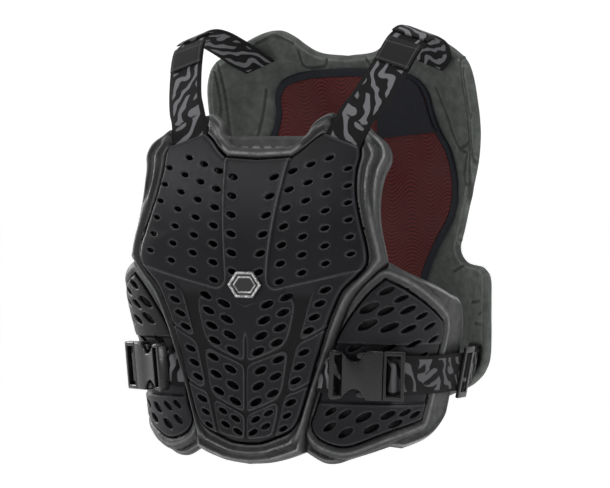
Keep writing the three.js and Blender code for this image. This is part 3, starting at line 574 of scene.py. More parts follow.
# Wavy ribs over a fine grid of loops
def knitMaterial(name, look):
    nodes = Nodes(name)
    flat = nodes.flat()
    across, up = nodes.parts(flat)
    swing = nodes.math("MULTIPLY", nodes.sine(across, look["swingPitch"]), look["swing"])
    drift = nodes.noise(flat, look["wanderSize"], detail=2, roughness=0.5)
    lifted = nodes.math("ADD", nodes.math("ADD", up, swing), nodes.math("MULTIPLY", drift, look["wander"]))
    ripple = nodes.math("MULTIPLY", nodes.bands(lifted, look["ripplePitch"]), look["rippleShare"])
    loops = nodes.math("MULTIPLY", nodes.bands(across, look["knitPitch"]), nodes.bands(up, look["knitPitch"]))
    height = nodes.math("ADD", ripple, nodes.math("MULTIPLY", loops, look["knitShare"]))
    low, high = look["toneRange"]
    shade = nodes.ramp(height, [(low, look["valley"]), (high, look["thread"])])
    cloud = nodes.ramp(nodes.noise(flat, look["dustSize"], detail=3, roughness=0.6), look["dustStops"])
    nodes.link(nodes.blendColor(cloud, shade, look["dust"]), nodes.shader.inputs["Base Color"])
    nodes.link(nodes.bump(height, look["depth"], look["strength"]), nodes.shader.inputs["Normal"])
    nodes.shader.inputs["Roughness"].default_value = look["roughness"]
    nodes.shader.inputs["Specular IOR Level"].default_value = look["specular"]
    return nodes.material


threads = {"depth": 0.0003, "strength": 0.7, "speckSize": 300, "lighter": 2.4, "lift": 0.006}
bindingLook = {"color": (0.012, 0.013, 0.017), "pitch": 0.0012, "roughness": 0.85, "specular": 0.15}
flapLook = {"color": (0.013, 0.0135, 0.017), "pitch": 0.0014, "roughness": 0.85, "specular": 0.15}


def wovenBump(nodes, flat, pitch):
    across, up = nodes.parts(flat)
    crossed = nodes.math("MULTIPLY", nodes.sine(across, pitch), nodes.sine(up, pitch))
    weave = nodes.math("MULTIPLY_ADD", crossed, 0.5, 0.5)
    return weave, nodes.bump(weave, threads["depth"], threads["strength"])


def clothMaterial(name, look):
    nodes = Nodes(name)
    weave, normal = wovenBump(nodes, nodes.flat(), look["pitch"])
    speck = nodes.noise(nodes.place(), threads["speckSize"], detail=3, roughness=0.6)
    lighter = tuple(part * threads["lighter"] + threads["lift"] for part in look["color"])
    share = nodes.math("MULTIPLY", weave, speck)
    nodes.link(nodes.blendColor(share, look["color"], lighter), nodes.shader.inputs["Base Color"])
    nodes.link(normal, nodes.shader.inputs["Normal"])
    nodes.shader.inputs["Roughness"].default_value = look["roughness"]
    nodes.shader.inputs["Specular IOR Level"].default_value = look["specular"]
    return nodes.material


patchLook = {
    "color": (0.0065, 0.0065, 0.007), "stitch": (0.055, 0.055, 0.057), "stitchWidth": 0.0005,
    "stitchDepth": 0.0004, "stitchStrength": 0.6, "sideLine": 0.0172, "endLines": (0.0026, 0.0244),
    "fuzzSize": 700, "fuzzStops": [(0.3, 0.5), (0.7, 1.0)], "pitch": 0.0014,
    "roughness": 0.7, "specular": 0.2,
}


# Fuzzy cloth with a stitched line along its edge
def patchMaterial(name, look):
    nodes = Nodes(name)
    flat = nodes.flat()
    across, along = nodes.parts(flat)
    line = nodes.math("COMPARE", nodes.math("ABSOLUTE", across), look["sideLine"], look["stitchWidth"])
    for end in look["endLines"]:
        line = nodes.math("MAXIMUM", line, nodes.math("COMPARE", along, end, look["stitchWidth"]))
    normal = wovenBump(nodes, flat, look["pitch"])[1]
    fuzz = nodes.noise(nodes.place(), look["fuzzSize"], detail=3, roughness=0.6)
    fuzz = nodes.ramp(fuzz, look["fuzzStops"])
    nodes.link(nodes.blendColor(nodes.math("MULTIPLY", line, fuzz), look["color"], look["stitch"]),
               nodes.shader.inputs["Base Color"])
    sewn = nodes.bump(line, look["stitchDepth"], look["stitchStrength"], normal)
    nodes.link(sewn, nodes.shader.inputs["Normal"])
    nodes.shader.inputs["Roughness"].default_value = look["roughness"]
    nodes.shader.inputs["Specular IOR Level"].default_value = look["specular"]
    return nodes.material


webbingLook = {
    "ground": (0.006, 0.006, 0.0066), "stroke": (0.23, 0.227, 0.24), "strokeDark": (0.1, 0.099, 0.107),
    "shift": (0.13, 0.71, 0.37), "driftSize": 26.0, "driftReach": 0.05,
    "bandSize": 27.0, "bandBend": 7.5, "bandDetail": 0.6, "bandDetailSize": 1.3,
    "strokeStops": [(0.58, 0.0), (0.66, 1.0)], "cutSize": 60, "cutStops": [(0.34, 0.0), (0.39, 1.0)],
    "edge": 0.0165, "weavePitch": 0.0011, "speckSize": 1500, "roughness": 0.8, "specular": 0.15,
}


# Grey strokes: diagonal bands that slow noise bends and a second noise cuts; the two edges stay plain
def webbingMaterial(name, look, strength, seed):
    nodes = Nodes(name)
    flat = nodes.flat()
    shift = nodes.add("ShaderNodeVectorMath", operation="ADD")
    nodes.link(flat, shift.inputs[0])
    shift.inputs[1].default_value = tuple(seed * part for part in look["shift"])
    drift = nodes.add("ShaderNodeTexNoise", Scale=look["driftSize"], Detail=1.5, Roughness=0.45)
    nodes.link(shift.outputs[0], drift.inputs["Vector"])
    warped = nodes.add("ShaderNodeVectorMath", operation="MULTIPLY_ADD")
    nodes.link(drift.outputs["Color"], warped.inputs[0])
    warped.inputs[1].default_value = (look["driftReach"], look["driftReach"], 0)
    nodes.link(shift.outputs[0], warped.inputs[2])
    band = nodes.add("ShaderNodeTexWave", Scale=look["bandSize"], Distortion=look["bandBend"],
                     Detail=look["bandDetail"])
    band.inputs["Detail Scale"].default_value = look["bandDetailSize"]
    band.bands_direction = "DIAGONAL"
    nodes.link(warped.outputs[0], band.inputs["Vector"])
    stroke = nodes.ramp(band.outputs["Fac"], look["strokeStops"])
    cuts = nodes.noise(warped.outputs[0], look["cutSize"], detail=1, roughness=0.4)
    broken = nodes.ramp(cuts, look["cutStops"])
    across = nodes.math("ABSOLUTE", nodes.parts(flat)[0])
    middle = nodes.math("LESS_THAN", across, look["edge"])
    inked = nodes.math("MULTIPLY", nodes.math("MULTIPLY", stroke, broken), middle)
    weave, normal = wovenBump(nodes, flat, look["weavePitch"])
    speck = nodes.noise(nodes.place(), look["speckSize"], detail=2, roughness=0.6)
    thread = nodes.blendColor(nodes.math("MULTIPLY", weave, speck), look["strokeDark"], look["stroke"])
    share = nodes.math("MULTIPLY", inked, strength)
    nodes.link(nodes.blendColor(share, look["ground"], thread), nodes.shader.inputs["Base Color"])
    nodes.link(normal, nodes.shader.inputs["Normal"])
    nodes.shader.inputs["Roughness"].default_value = look["roughness"]
    nodes.shader.inputs["Specular IOR Level"].default_value = look["specular"]
    return nodes.material


buckleLook = {
    "color": (0.0065, 0.0065, 0.007), "scuffed": 2.2, "scuffStops": [(0.4, 0.0), (0.8, 0.5)], "wearSize": 120,
    "glossStops": [(0.35, 0.24), (0.7, 0.36)], "grainSize": 1600, "grainDepth": 0.00008,
    "grainStrength": 0.5, "specular": 0.35,
}


def plasticMaterial(name, look):
    nodes = Nodes(name)
    place = nodes.place()
    fine = nodes.noise(place, look["grainSize"], detail=2, roughness=0.5)
    wear = nodes.noise(place, look["wearSize"], detail=4, roughness=0.7)
    scuffed = tuple(part * look["scuffed"] for part in look["color"])
    nodes.link(nodes.blendColor(nodes.ramp(wear, look["scuffStops"]), look["color"], scuffed),
               nodes.shader.inputs["Base Color"])
    nodes.link(nodes.ramp(wear, look["glossStops"]), nodes.shader.inputs["Roughness"])
    nodes.link(nodes.bump(fine, look["grainDepth"], look["grainStrength"]), nodes.shader.inputs["Normal"])
    nodes.shader.inputs["Specular IOR Level"].default_value = look["specular"]
    return nodes.material


badgeLook = {
    "field": (0.012, 0.012, 0.013), "metalStops": [(0.35, 0.42), (0.65, 0.78)], "stainSize": 260,
    "glossStops": [(0.3, 0.22), (0.7, 0.4)], "stainDepth": 0.0001, "stainStrength": 0.4,
}


# Bare metal where the crest is high, dark paint in the field between
def metalMaterial(name, look):
    nodes = Nodes(name)
    stain = nodes.noise(nodes.place(), look["stainSize"], detail=4, roughness=0.6)
    shade = nodes.blendColor(nodes.crest(), look["field"], nodes.ramp(stain, look["metalStops"]))
    nodes.link(shade, nodes.shader.inputs["Base Color"])
    nodes.link(nodes.crest(), nodes.shader.inputs["Metallic"])
    nodes.link(nodes.ramp(stain, look["glossStops"]), nodes.shader.inputs["Roughness"])
    nodes.link(nodes.bump(stain, look["stainDepth"], look["stainStrength"]), nodes.shader.inputs["Normal"])
    return nodes.material


foam = foamMaterial("charcoalFoam", foamLook)
backFoamFinish = foamMaterial("greenGreyFoam", backLook)
shell = plateMaterial("satinBlackPlate", plateLook)
knit = knitMaterial("darkRedKnit", meshLook)
binding = clothMaterial("blackBinding", bindingLook)
flapCloth = clothMaterial("darkFlapCloth", flapLook)
webbing = webbingMaterial("printedWebbing", webbingLook, strength=1.0, seed=1.0)
waistWebbing = webbingMaterial("waistWebbing", webbingLook, strength=0.6, seed=4.0)
patchCloth = patchMaterial("patchCloth", patchLook)
buckleFinish = plasticMaterial("buckleBlack", buckleLook)
badgeFinish = metalMaterial("badgeSilver", badgeLook)
print("materials made")

plate = {
    "halfGirth": 129, "hem": -201, "top": 108, "lift": 16.45, "thickness": 5.5, "edgeRound": 3.6,
    "rows": [
        (0, 0.004, 1), (0.14, 0.0075), (0.28, 0.025, 1), (0.45, 0.055), (0.51, 0.082), (0.6, 0.2),
        (0.67, 0.32), (0.71, 0.39), (0.76, 0.455), (0.83, 0.52), (0.945, 0.57), (1, 0.6), (1, 0.64),
        (0.94, 0.73), (0.888, 0.81), (0.868, 0.885), (0.876, 0.935), (0.86, 0.96, 1), (0.556, 1, 1),
        (0.472, 0.978), (0.387, 0.946), (0.305, 0.922, 1), (0, 0.915, 1),
    ],
    # Length, width and tilt of the vents next to the middle, and how much they shrink towards the side
    "upperVent": (12.6, 5.9, 0.27), "upperShrink": 0.38, "lowerVent": (17.2, 7.0, 0.37), "lowerShrink": 0.38,
    "smallBelow": 0.12, "smallShare": 0.8, "ventSides": 24, "ventLip": 0.9, "ventClear": 1.3,
    # Border between middle and side field on one side, and points that close the side field
    "spine": [(39, 90), (38.3, 84), (25.4, -30.5), (27, -37), (33, -41), (50, -38), (131.8, -18), (150, -12)],
    "beyondSide": [(170, 40), (150, 125), (39, 125)],
    # Spacing of the sheet's points, and where lines of points follow the edge, the border and the blocks
    "spacing": 2.6, "edgeSpacing": 2.2, "edgeRings": (0.3, 1.0, 2.2, 3.8), "spineSpacing": 1.5,
    "spineLines": (-2.0, -1.0, 0, 0.8, 1.6), "blockSpacing": 1.7, "blockLines": (-1.1, -0.3, 0.5, 1.2),
    # Where each slope starts and how far it runs
    "stepSlope": (-0.9, 1.8), "sideFade": (125, 40), "topFade": (-5, 20), "crownHalf": 45,
    "crownFade": (-48, 24), "grooveFade": (-34, 16), "blockFade": (-40, 14), "ribFade": (-32, 10),
    # In the rows below each Glint paints highlights, the negative rows and grooveShade paint shade, and
    # grooveDark is where that shade fades
    "grooveDark": (-1.6, 1.4), "panelStep": 1.6, "blockStep": 1.7, "rib": [(0.6, -1.0, 1.3)],
    "ventRim": [(0.3, 1.5, 0.7)], "ventGlint": [(0.55, 0.63, 0.45)], "edgeGlint": [(0.35, 1.4, 0.7)],
    "blockGlint": [(0.75, 0.5, 0.5)], "spineGlintAndShade": [(0.8, -1.1, 0.7), (-0.5, 1.2, 1.4)],
    "ribGlint": [(0.5, -1.1, 0.6)], "grooveShade": 0.9,
}
upperVents = {
    "rowPitch": 0.0583, "firstUp": 0.86, "firstOut": 0.189, "outStep": -0.014,
    "pitch": 0.151, "pitchStep": 0.0078, "rise": 0.0205, "riseStep": 0.0004,
    "spans": [(0, 3), (0, 4), (0, 4), (0, 4), (0, 4), (0, 4), (1, 4)],
}
# Each line: how many vents, and out and up at its first and at its last
lowerVentLines = [
    (4, 0.372, 0.489, 0.298, 0.34), (3, 0.318, 0.285, 0.274, 0.172), (2, 0.236, 0.107, 0.211, 0.063),
    (4, 0.202, 0.464, 0.124, 0.308), (3, 0.15, 0.247, 0.107, 0.141), (2, 0.105, 0.084, 0.081, 0.041),
    (4, 0.705, 0.518, 0.577, 0.385), (3, 0.543, 0.312, 0.484, 0.217), (3, 0.45, 0.145, 0.388, 0.058),
]
# Raised blocks of the lower plate on one side, girth and height
plateBlocks = {
    "upperInner": [(-3, -60), (-3, -82), (1.7, -92), (1.7, -113), (6, -115), (24, -109), (42, -101),
                   (48, -95), (52, -86), (57, -62), (56, -53), (50, -49), (20, -54)],
    "middleInner": [(1.7, -123), (7, -118.5), (26, -112), (44, -105), (50, -106), (50.5, -112),
                    (47, -140), (44, -149), (38, -154.5), (22, -161), (5, -167), (1.7, -165)],
    "lowerInner": [(1.7, -174), (6, -170), (22, -164), (38, -157.5), (42, -160), (41, -170),
                   (36, -189), (30, -192), (1.7, -196)],
    "upperOuter": [(92, -30), (83, -35), (77, -45), (73, -58), (67.5, -80), (65, -88), (69, -91),
                   (78, -86), (98, -74), (140, -30), (110, -22)],
    "middleOuter": [(66, -95), (61, -101), (60, -108), (54, -136), (55, -143), (62, -144), (84, -132),
                    (110, -100), (96, -78), (80, -88)],
    "lowerOuter": [(55, -148), (50, -152), (45.5, -172), (40, -190), (44, -196), (70, -190), (90, -140),
                   (84, -136), (66, -145)],
}


def alongLine(line, spacing, aside=0.0):
    line = np.asarray(line, float)
    made = []
    for start, end in zip(line[:-1], line[1:]):
        count = max(1, int(round(np.linalg.norm(end - start) / spacing)))
        made += [mix(start, end, step / count) for step in range(count)]
    made = np.array(made + [line[-1]])
    slope = np.gradient(made, axis=0)
    slope /= np.maximum(np.linalg.norm(slope, axis=1, keepdims=True), 1e-9)
    return made + np.stack([-slope[:, 1], slope[:, 0]], axis=1) * aside


def softened(polygon, rounds=3, cut=3.5):
    made = np.array(polygon, float)
    for turn in range(rounds):
        after = np.roll(made, -1, axis=0)
        share = np.minimum(0.25, cut / np.maximum(np.linalg.norm(after - made, axis=1), 1))[:, None]
        made = np.stack([mix(made, after, share), mix(after, made, share)], axis=1).reshape(-1, 2)
    return made


def oval(middle, length, width, tilt, sides):
    turns = (np.arange(sides) + 0.5) / sides * 2 * math.pi
    x, y = np.cos(turns) * length / 2, np.sin(turns) * width / 2
    return np.stack([middle[0] + x * math.cos(tilt) - y * math.sin(tilt),
                     middle[1] + x * math.sin(tilt) + y * math.cos(tilt)], axis=1)


def plateVents():
    places = []
    for row, (first, last) in enumerate(upperVents["spans"]):
        pitch = upperVents["pitch"] + row * upperVents["pitchStep"]
        rise = (upperVents["rise"] + row * upperVents["riseStep"]) * pitch / upperVents["pitch"]
        for column in range(first, last + 1):
            places.append((upperVents["firstOut"] + row * upperVents["outStep"] + column * pitch,
                           upperVents["firstUp"] - row * upperVents["rowPitch"] + column * rise, "upper"))
    for count, outFrom, upFrom, outTo, upTo in lowerVentLines:
        for step in range(count):
            share = step / (count - 1)
            places.append((mix(outFrom, outTo, share), mix(upFrom, upTo, share), "lower"))
    vents = []
    for out, up, zone in places:
        length, width, tilt = plate[f"{zone}Vent"]
        size = 1 - plate[f"{zone}Shrink"] * min(1, out)
        if zone == "lower" and up < plate["smallBelow"]:
            size *= plate["smallShare"]
        middle = (out * plate["halfGirth"], mix(plate["hem"], plate["top"], up))
        right = oval(middle, length * size, width * size, tilt, plate["ventSides"])
        vents += [right, (right * (-1, 1))[::-1]]
    return vents


plateOutline = smoothOutline(mirroredRows(scaledRows(
    plate["rows"], plate["halfGirth"], plate["hem"], plate["top"])))


def ventGap(coords, vents, reach=3):
    gap = np.full(len(coords), farAway)
    for vent in vents:
        near = (np.abs(coords - vent.mean(0)) < np.ptp(vent, axis=0) / 2 + reach + 1).all(1)
        where = np.flatnonzero(near)
        if len(where):
            gap[where] = np.minimum(gap[where], np.maximum(0, -depthInside(coords[where], vent)))
    return gap


def blockRelief(folded):
    held = np.full(len(folded), -farAway)
    for block in plateBlocks.values():
        held = np.maximum(held, depthInside(folded, softened(block)))
    return held


def makePlate():
    outline = evenly(plateOutline, plate["edgeSpacing"])
    vents = plateVents()
    rings = [grown(vent, lip) for vent in vents for lip in (plate["ventLip"] / 2, plate["ventLip"])]
    spine = curveThrough(plate["spine"], 12)
    steps = []
    for shift in plate["spineLines"]:
        line = alongLine(spine, plate["spineSpacing"], shift)
        steps += [line, line * (-1, 1)]
    for block in plateBlocks.values():
        edge = evenly(softened(block), plate["blockSpacing"])
        for reach in plate["blockLines"]:
            steps += [grown(edge, reach), grown(edge, reach) * (-1, 1)]
    steps = [line[ventGap(line, vents) > plate["ventClear"]] for line in steps]
    coords, faces = cutSheet(outline, vents, plate["spacing"], plate["edgeRings"], rings + steps)
    folded = foldedOver(coords)
    sideDepth = depthInside(folded, np.concatenate([spine, plate["beyondSide"]]))
    fade = falling(folded[:, 0], *plate["sideFade"])
    lowered = rising(sideDepth, *plate["stepSlope"]) * plate["panelStep"]
    lowered = lowered * np.maximum(fade, rising(coords[:, 1], *plate["topFade"]))
    blocks = blockRelief(folded)
    crown = np.where(folded[:, 0] < plate["crownHalf"], falling(folded[:, 1], *plate["crownFade"]), 1)
    grooves = (1 - rising(blocks, *plate["stepSlope"])) * falling(folded[:, 1], *plate["grooveFade"])
    grooves = grooves * plate["blockStep"] * crown
    gap = ventGap(coords, vents)
    lips = roundedDrop(gap, plate["ventLip"]) - ridges(gap, plate["ventRim"])
    edge = edgeDistance(coords, outline)
    ribFade = rising(folded[:, 1], *plate["ribFade"])
    ribs = ridges(sideDepth, plate["rib"]) * ribFade
    drop = lowered + grooves + lips + roundedDrop(edge, plate["edgeRound"]) - ribs
    top = plate["lift"] + plate["thickness"] - drop
    low = falling(folded[:, 1], *plate["blockFade"]) * crown
    # Painted highlights on the vent lips, the edge, the spine, the ribs and the block edges; painted shade
    # beside the spine and in the grooves between blocks
    crest = ridges(gap, plate["ventGlint"]) + ridges(edge, plate["edgeGlint"])
    crest += ridges(sideDepth, plate["spineGlintAndShade"]) * fade + ridges(sideDepth, plate["ribGlint"]) * ribFade
    crest += ridges(blocks, plate["blockGlint"]) * low
    crest -= plate["grooveShade"] * (1 - rising(blocks, *plate["grooveDark"])) * low
    made = bentShell("frontPlate", (coords, faces), front, top, np.full(len(coords), plate["lift"]),
                     shell, np.clip(crest, -1, 1))
    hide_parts("front_plate")
    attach(made, "root")
    print("front plate", len(faces))


makePlate()

chestPad = {
    "halfGirth": 148, "hem": -222, "top": 131, "pocketLift": 9, "baseLift": 17.4, "edgeRound": 5,
    "rows": [
        (0, 0, 1), (0.21, 0.008), (0.37, 0.024), (0.486, 0.04, 1), (0.493, 0.08), (0.554, 0.19),
        (0.655, 0.32), (0.703, 0.4), (0.784, 0.49), (0.9, 0.55), (1, 0.59, 1), (0.98, 0.63), (0.945, 0.69),
        (0.925, 0.77), (0.935, 0.83), (0.965, 0.875), (0.935, 0.91), (0.84, 0.94), (0.76, 0.967),
        (0.64, 0.99), (0.54, 1), (0.48, 0.997), (0.42, 0.988), (0.36, 0.968), (0.325, 0.937, 1),
        (0, 0.937, 1),
    ],
    # Ridges, and the painted highlights on them and painted shade between them, from plate to outer edge:
    # strength, share of the way and width
    "narrowRidges": [(3.6, 0.56, 0.24), (0.8, 0.16, 0.08)],
    "wideRidges": [(3.4, 0.42, 0.085), (3.0, 0.8, 0.09), (1.5, 0.15, 0.06), (1.1, 0.6, 0.035)],
    "narrowGlints": [(0.45, 0.6, 0.08)], "seamGlintsAndShade": [(0.35, 0.16, 0.03), (-0.8, 0.29, 0.07)],
    "wideGlintsAndShade": [(0.8, 0.44, 0.03), (0.9, 0.81, 0.035), (-0.75, 0.67, 0.06)],
    "wideFrom": (17, 8), "neckFrom": (78, 6), "neckWithin": (52, 8), "sunkFrom": (1.9, 0.9),
    "channelLift": 12.0, "leastFoam": 3, "edgeGlint": [(0.1, 2.5, 1)], "neckEdge": 0.5,
    "dents": 0.35, "dentSize": 6, "underRound": 3, "underDrop": 1.2,
    # Spacing of the sheet's points, and where lines of points follow the edge and the plate
    "spacing": 2.7, "edgeSpacing": 2.4, "edgeRings": (0.4, 1.3, 2.6, 3.9, 5.2, 6.5, 7.8, 9.1),
    "plateLines": (1.2, 2.2, 3.2, *np.arange(4.2, 28, 1.25), -2),
}
# The rolled collar at the neck, and the dashed lip below it
collar = {
    "base": 12, "roll": 8.2, "rollHalf": 6.5, "lipLift": 11, "lipRise": 1.2, "lipFrom": (104, 4),
    "dashLine": [(1, 96.5, 1.2)], "dashPitch": 14, "dashGap": -0.2, "dashHeight": 0.8, "dashFrom": (13, 2),
    "rollGlint": [(0.8, 5.2, 1.2)], "dashGlint": 0.7, "dashGlintFrom": 12,
}
# Where each shoulder strap is sewn to the chest pad, and the channel it lies in
strapFoot = {"girth": 91.5, "level": 101.5, "lean": 0.2, "tilt": 19, "half": 24, "below": 17, "slope": 3}

padOutline = smoothOutline(mirroredRows(scaledRows(
    chestPad["rows"], chestPad["halfGirth"], chestPad["hem"], chestPad["top"])))


def strapChannel(folded):
    lean = np.array([strapFoot["lean"], 1]) / math.hypot(strapFoot["lean"], 1)
    tilt = math.radians(strapFoot["tilt"])
    across = np.array([math.cos(tilt), -math.sin(tilt)])
    offset = folded - (strapFoot["girth"], strapFoot["level"])
    cross = lean[0] * across[1] - lean[1] * across[0]
    side = (lean[0] * offset[:, 1] - lean[1] * offset[:, 0]) / cross
    along = (offset[:, 0] * across[1] - offset[:, 1] * across[0]) / cross
    slope = strapFoot["slope"]
    return falling(np.abs(side), strapFoot["half"] + 1, slope) * rising(along, -strapFoot["below"], slope)


def makeChestPad():
    outline = evenly(padOutline, chestPad["edgeSpacing"])
    plateEdge = evenly(plateOutline, chestPad["edgeSpacing"])
    lines = [grown(plateEdge, reach) for reach in chestPad["plateLines"]]
    coords, faces = cutSheet(outline, [], chestPad["spacing"], chestPad["edgeRings"], lines)
    folded = foldedOver(coords)
    toPlate = -depthInside(coords, plateEdge)
    toEdge = edgeDistance(coords, outline)
    span = np.maximum(toPlate, 0) + toEdge
    share = np.clip(toPlate / np.maximum(span, 1), 0, 1)
    wide = rising(span, *chestPad["wideFrom"])
    neck = rising(folded[:, 1], *chestPad["neckFrom"]) * falling(folded[:, 0], *chestPad["neckWithin"])
    rims = mix(ridges(share, chestPad["narrowRidges"]), ridges(share, chestPad["wideRidges"]), wide)
    height = chestPad["baseLift"] + rims
    # Painted highlights on the ridges, painted shade in the valleys and beside the plate
    crest = mix(ridges(share, chestPad["narrowGlints"]), ridges(share, chestPad["wideGlintsAndShade"]), wide)
    crest += ridges(share, chestPad["seamGlintsAndShade"])
    roll = collar["base"] + collar["roll"] * roundRoll(toPlate, collar["rollHalf"], collar["rollHalf"])
    lip = collar["lipLift"] + collar["lipRise"] * rising(folded[:, 1], *collar["lipFrom"])
    lip = np.where(toPlate < 2 * collar["rollHalf"], roll, lip)
    inDash = np.sin(coords[:, 0] * 2 * math.pi / collar["dashPitch"]) > collar["dashGap"]
    dashes = ridges(folded[:, 1], collar["dashLine"]) * inDash
    lip = lip + collar["dashHeight"] * dashes * rising(toPlate, *collar["dashFrom"])
    height = mix(height, lip, neck)
    # Painted highlights on the collar roll and its dashes
    dashGlint = collar["dashGlint"] * dashes * (toPlate > collar["dashGlintFrom"])
    crest = mix(crest, ridges(toPlate, collar["rollGlint"]) + dashGlint, neck)
    channel = strapChannel(folded)
    height = mix(height, chestPad["channelLift"], channel)
    sunk = falling(toPlate, *chestPad["sunkFrom"])
    height = mix(height, chestPad["pocketLift"], sunk)
    height += chestPad["dents"] * waves(coords, chestPad["dentSize"], 0.4) * (1 - sunk)
    height -= roundedDrop(toEdge, chestPad["edgeRound"]) * mix(1, chestPad["neckEdge"], neck)
    # Painted highlight along the outer edge; the pocket under the plate is painted in full shade
    crest = crest * (1 - sunk) * (1 - channel) + ridges(toEdge, chestPad["edgeGlint"]) * (1 - channel) - sunk
    under = chestPad["underDrop"] * roundedDrop(toEdge, chestPad["underRound"])
    height = np.maximum(height, under + chestPad["leastFoam"])
    made = bentShell("chestPad", (coords, faces), front, height, under, foam, np.clip(crest, -1, 1))
    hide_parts("front_foam")
    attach(made, "root")
    print("chest pad", len(faces))


makeChestPad()

wing = {
    "reach": 260, "hem": -218, "top": -13, "thickness": 14, "pocketLift": 3, "edgeRound": 4,
    "rows": [
        (0.373, 0), (0.437, 0), (0.494, 0.02), (0.58, 0.05), (0.665, 0.083, 1), (0.715, 0.072, 1),
        (0.888, 0.137), (0.969, 0.22), (0.985, 0.31), (1, 0.65), (0.946, 0.8), (0.846, 0.844), (0.66, 0.934),
    ],
    "plateRows": [
        (0.335, 0.268), (0.315, 0.195), (0.342, 0.137), (0.427, 0.095), (0.492, 0.094), (0.658, 0.173),
        (0.776, 0.224, 1), (0.788, 0.322), (0.81, 0.668), (0.796, 0.712, 1), (0.727, 0.776), (0.613, 0.878),
        (0.56, 0.912, 1), (0.515, 0.859), (0.454, 0.751), (0.4, 0.617),
    ],
    "plateLift": 10.55, "plateThickness": 3.8, "channelLevel": -125, "channelHalf": 31, "channelDepth": 1.7,
    # Out, up and size of each vent
    "vents": [
        (0.566, 0.864, 0.9), (0.615, 0.83, 0.75), (0.511, 0.781, 1.25), (0.57, 0.77, 0.95),
        (0.642, 0.778, 0.85), (0.694, 0.748, 0.7), (0.512, 0.7, 1.25), (0.592, 0.692, 1.05),
        (0.658, 0.686, 0.85), (0.735, 0.696, 0.75), (0.476, 0.585, 1.05), (0.6, 0.585, 1.0),
        (0.69, 0.61, 0.85), (0.765, 0.63, 0.75), (0.738, 0.545, 0.7), (0.4, 0.262, 0.9),
        (0.465, 0.25, 1.0), (0.545, 0.238, 1.15), (0.638, 0.25, 0.95), (0.7, 0.262, 0.75),
        (0.742, 0.25, 0.75), (0.4, 0.185, 1.05), (0.474, 0.158, 1.15), (0.58, 0.18, 1.05),
        (0.668, 0.206, 0.9),
    ],
    "ventLength": 16, "ventWidth": 5.8, "ventTilt": 0.5, "ventSides": 22, "ventLip": 1.0, "ventClear": 1.3,
    # The roll round the plate, the flange outside it, and the lines of painted highlight, partly worn, and of
    # painted shade on both
    "rollPlace": 7.2, "rollHalf": 6.6, "rollBase": 9.5, "roll": 4.6, "flange": 9.2,
    "flangeRidge": [(1.6, 5, 2.2)], "rollGlint": [(0.5, 7.8, 1.2)], "edgeGlint": [(0.45, 3.4, 1.0)],
    "rollShade": [(0.5, 14, 1.4)], "rearGlint": [(0.8, 2.6, 0.9)], "rearFrom": (150, 60),
    "sunkFrom": (2.0, 0.9), "leastFoam": 2.5, "dents": 0.3, "dentSize": 5, "underRound": 3,
    "besideFrom": (15, 6), "channelSlope": 1.3, "plateEdgeRound": 2.0, "ventRim": [(0.25, 1.6, 0.6)],
    "ventGlint": [(0.35, 0.7, 0.45)], "plateEdgeGlint": [(0.3, 1.0, 0.6)],
    # Spacing of the sheets' points, and where lines of points follow the edge and the plate
    "spacing": 2.7, "edgeSpacing": 2.4, "edgeRings": (0.4, 1.2, 2.4, 3.6, 4.8, 6.2),
    "plateLines": (1.2, 2.2, 3.2, *np.arange(4.6, 16, 1.4), -2), "plateRings": (0.3, 1.0, 2.2),
}
# The side pads begin where the chest pad ends: the lower part of its outline
seamRows = [(0.486, 0.04), (0.493, 0.08), (0.554, 0.19), (0.655, 0.32), (0.703, 0.4), (0.784, 0.49),
            (0.9, 0.55), (1, 0.59)]
wingOutline = smoothOutline(
    [(x + 0.5, y) + ((1,) if index in (0, len(seamRows) - 1) else ()) for index, (x, y) in enumerate(
        reversed(scaledRows(seamRows, chestPad["halfGirth"], chestPad["hem"], chestPad["top"])))]
    + scaledRows(wing["rows"], wing["reach"], wing["hem"], wing["top"]))
wingPlateOutline = smoothOutline(scaledRows(wing["plateRows"], wing["reach"], wing["hem"], wing["top"]))


def counterClockwise(outline):
    after = np.roll(outline, -1, axis=0)
    area = (outline[:, 0] * after[:, 1] - after[:, 0] * outline[:, 1]).sum()
    return outline if area > 0 else outline[::-1]


wingOutline = counterClockwise(wingOutline)
wingPlateOutline = counterClockwise(wingPlateOutline)


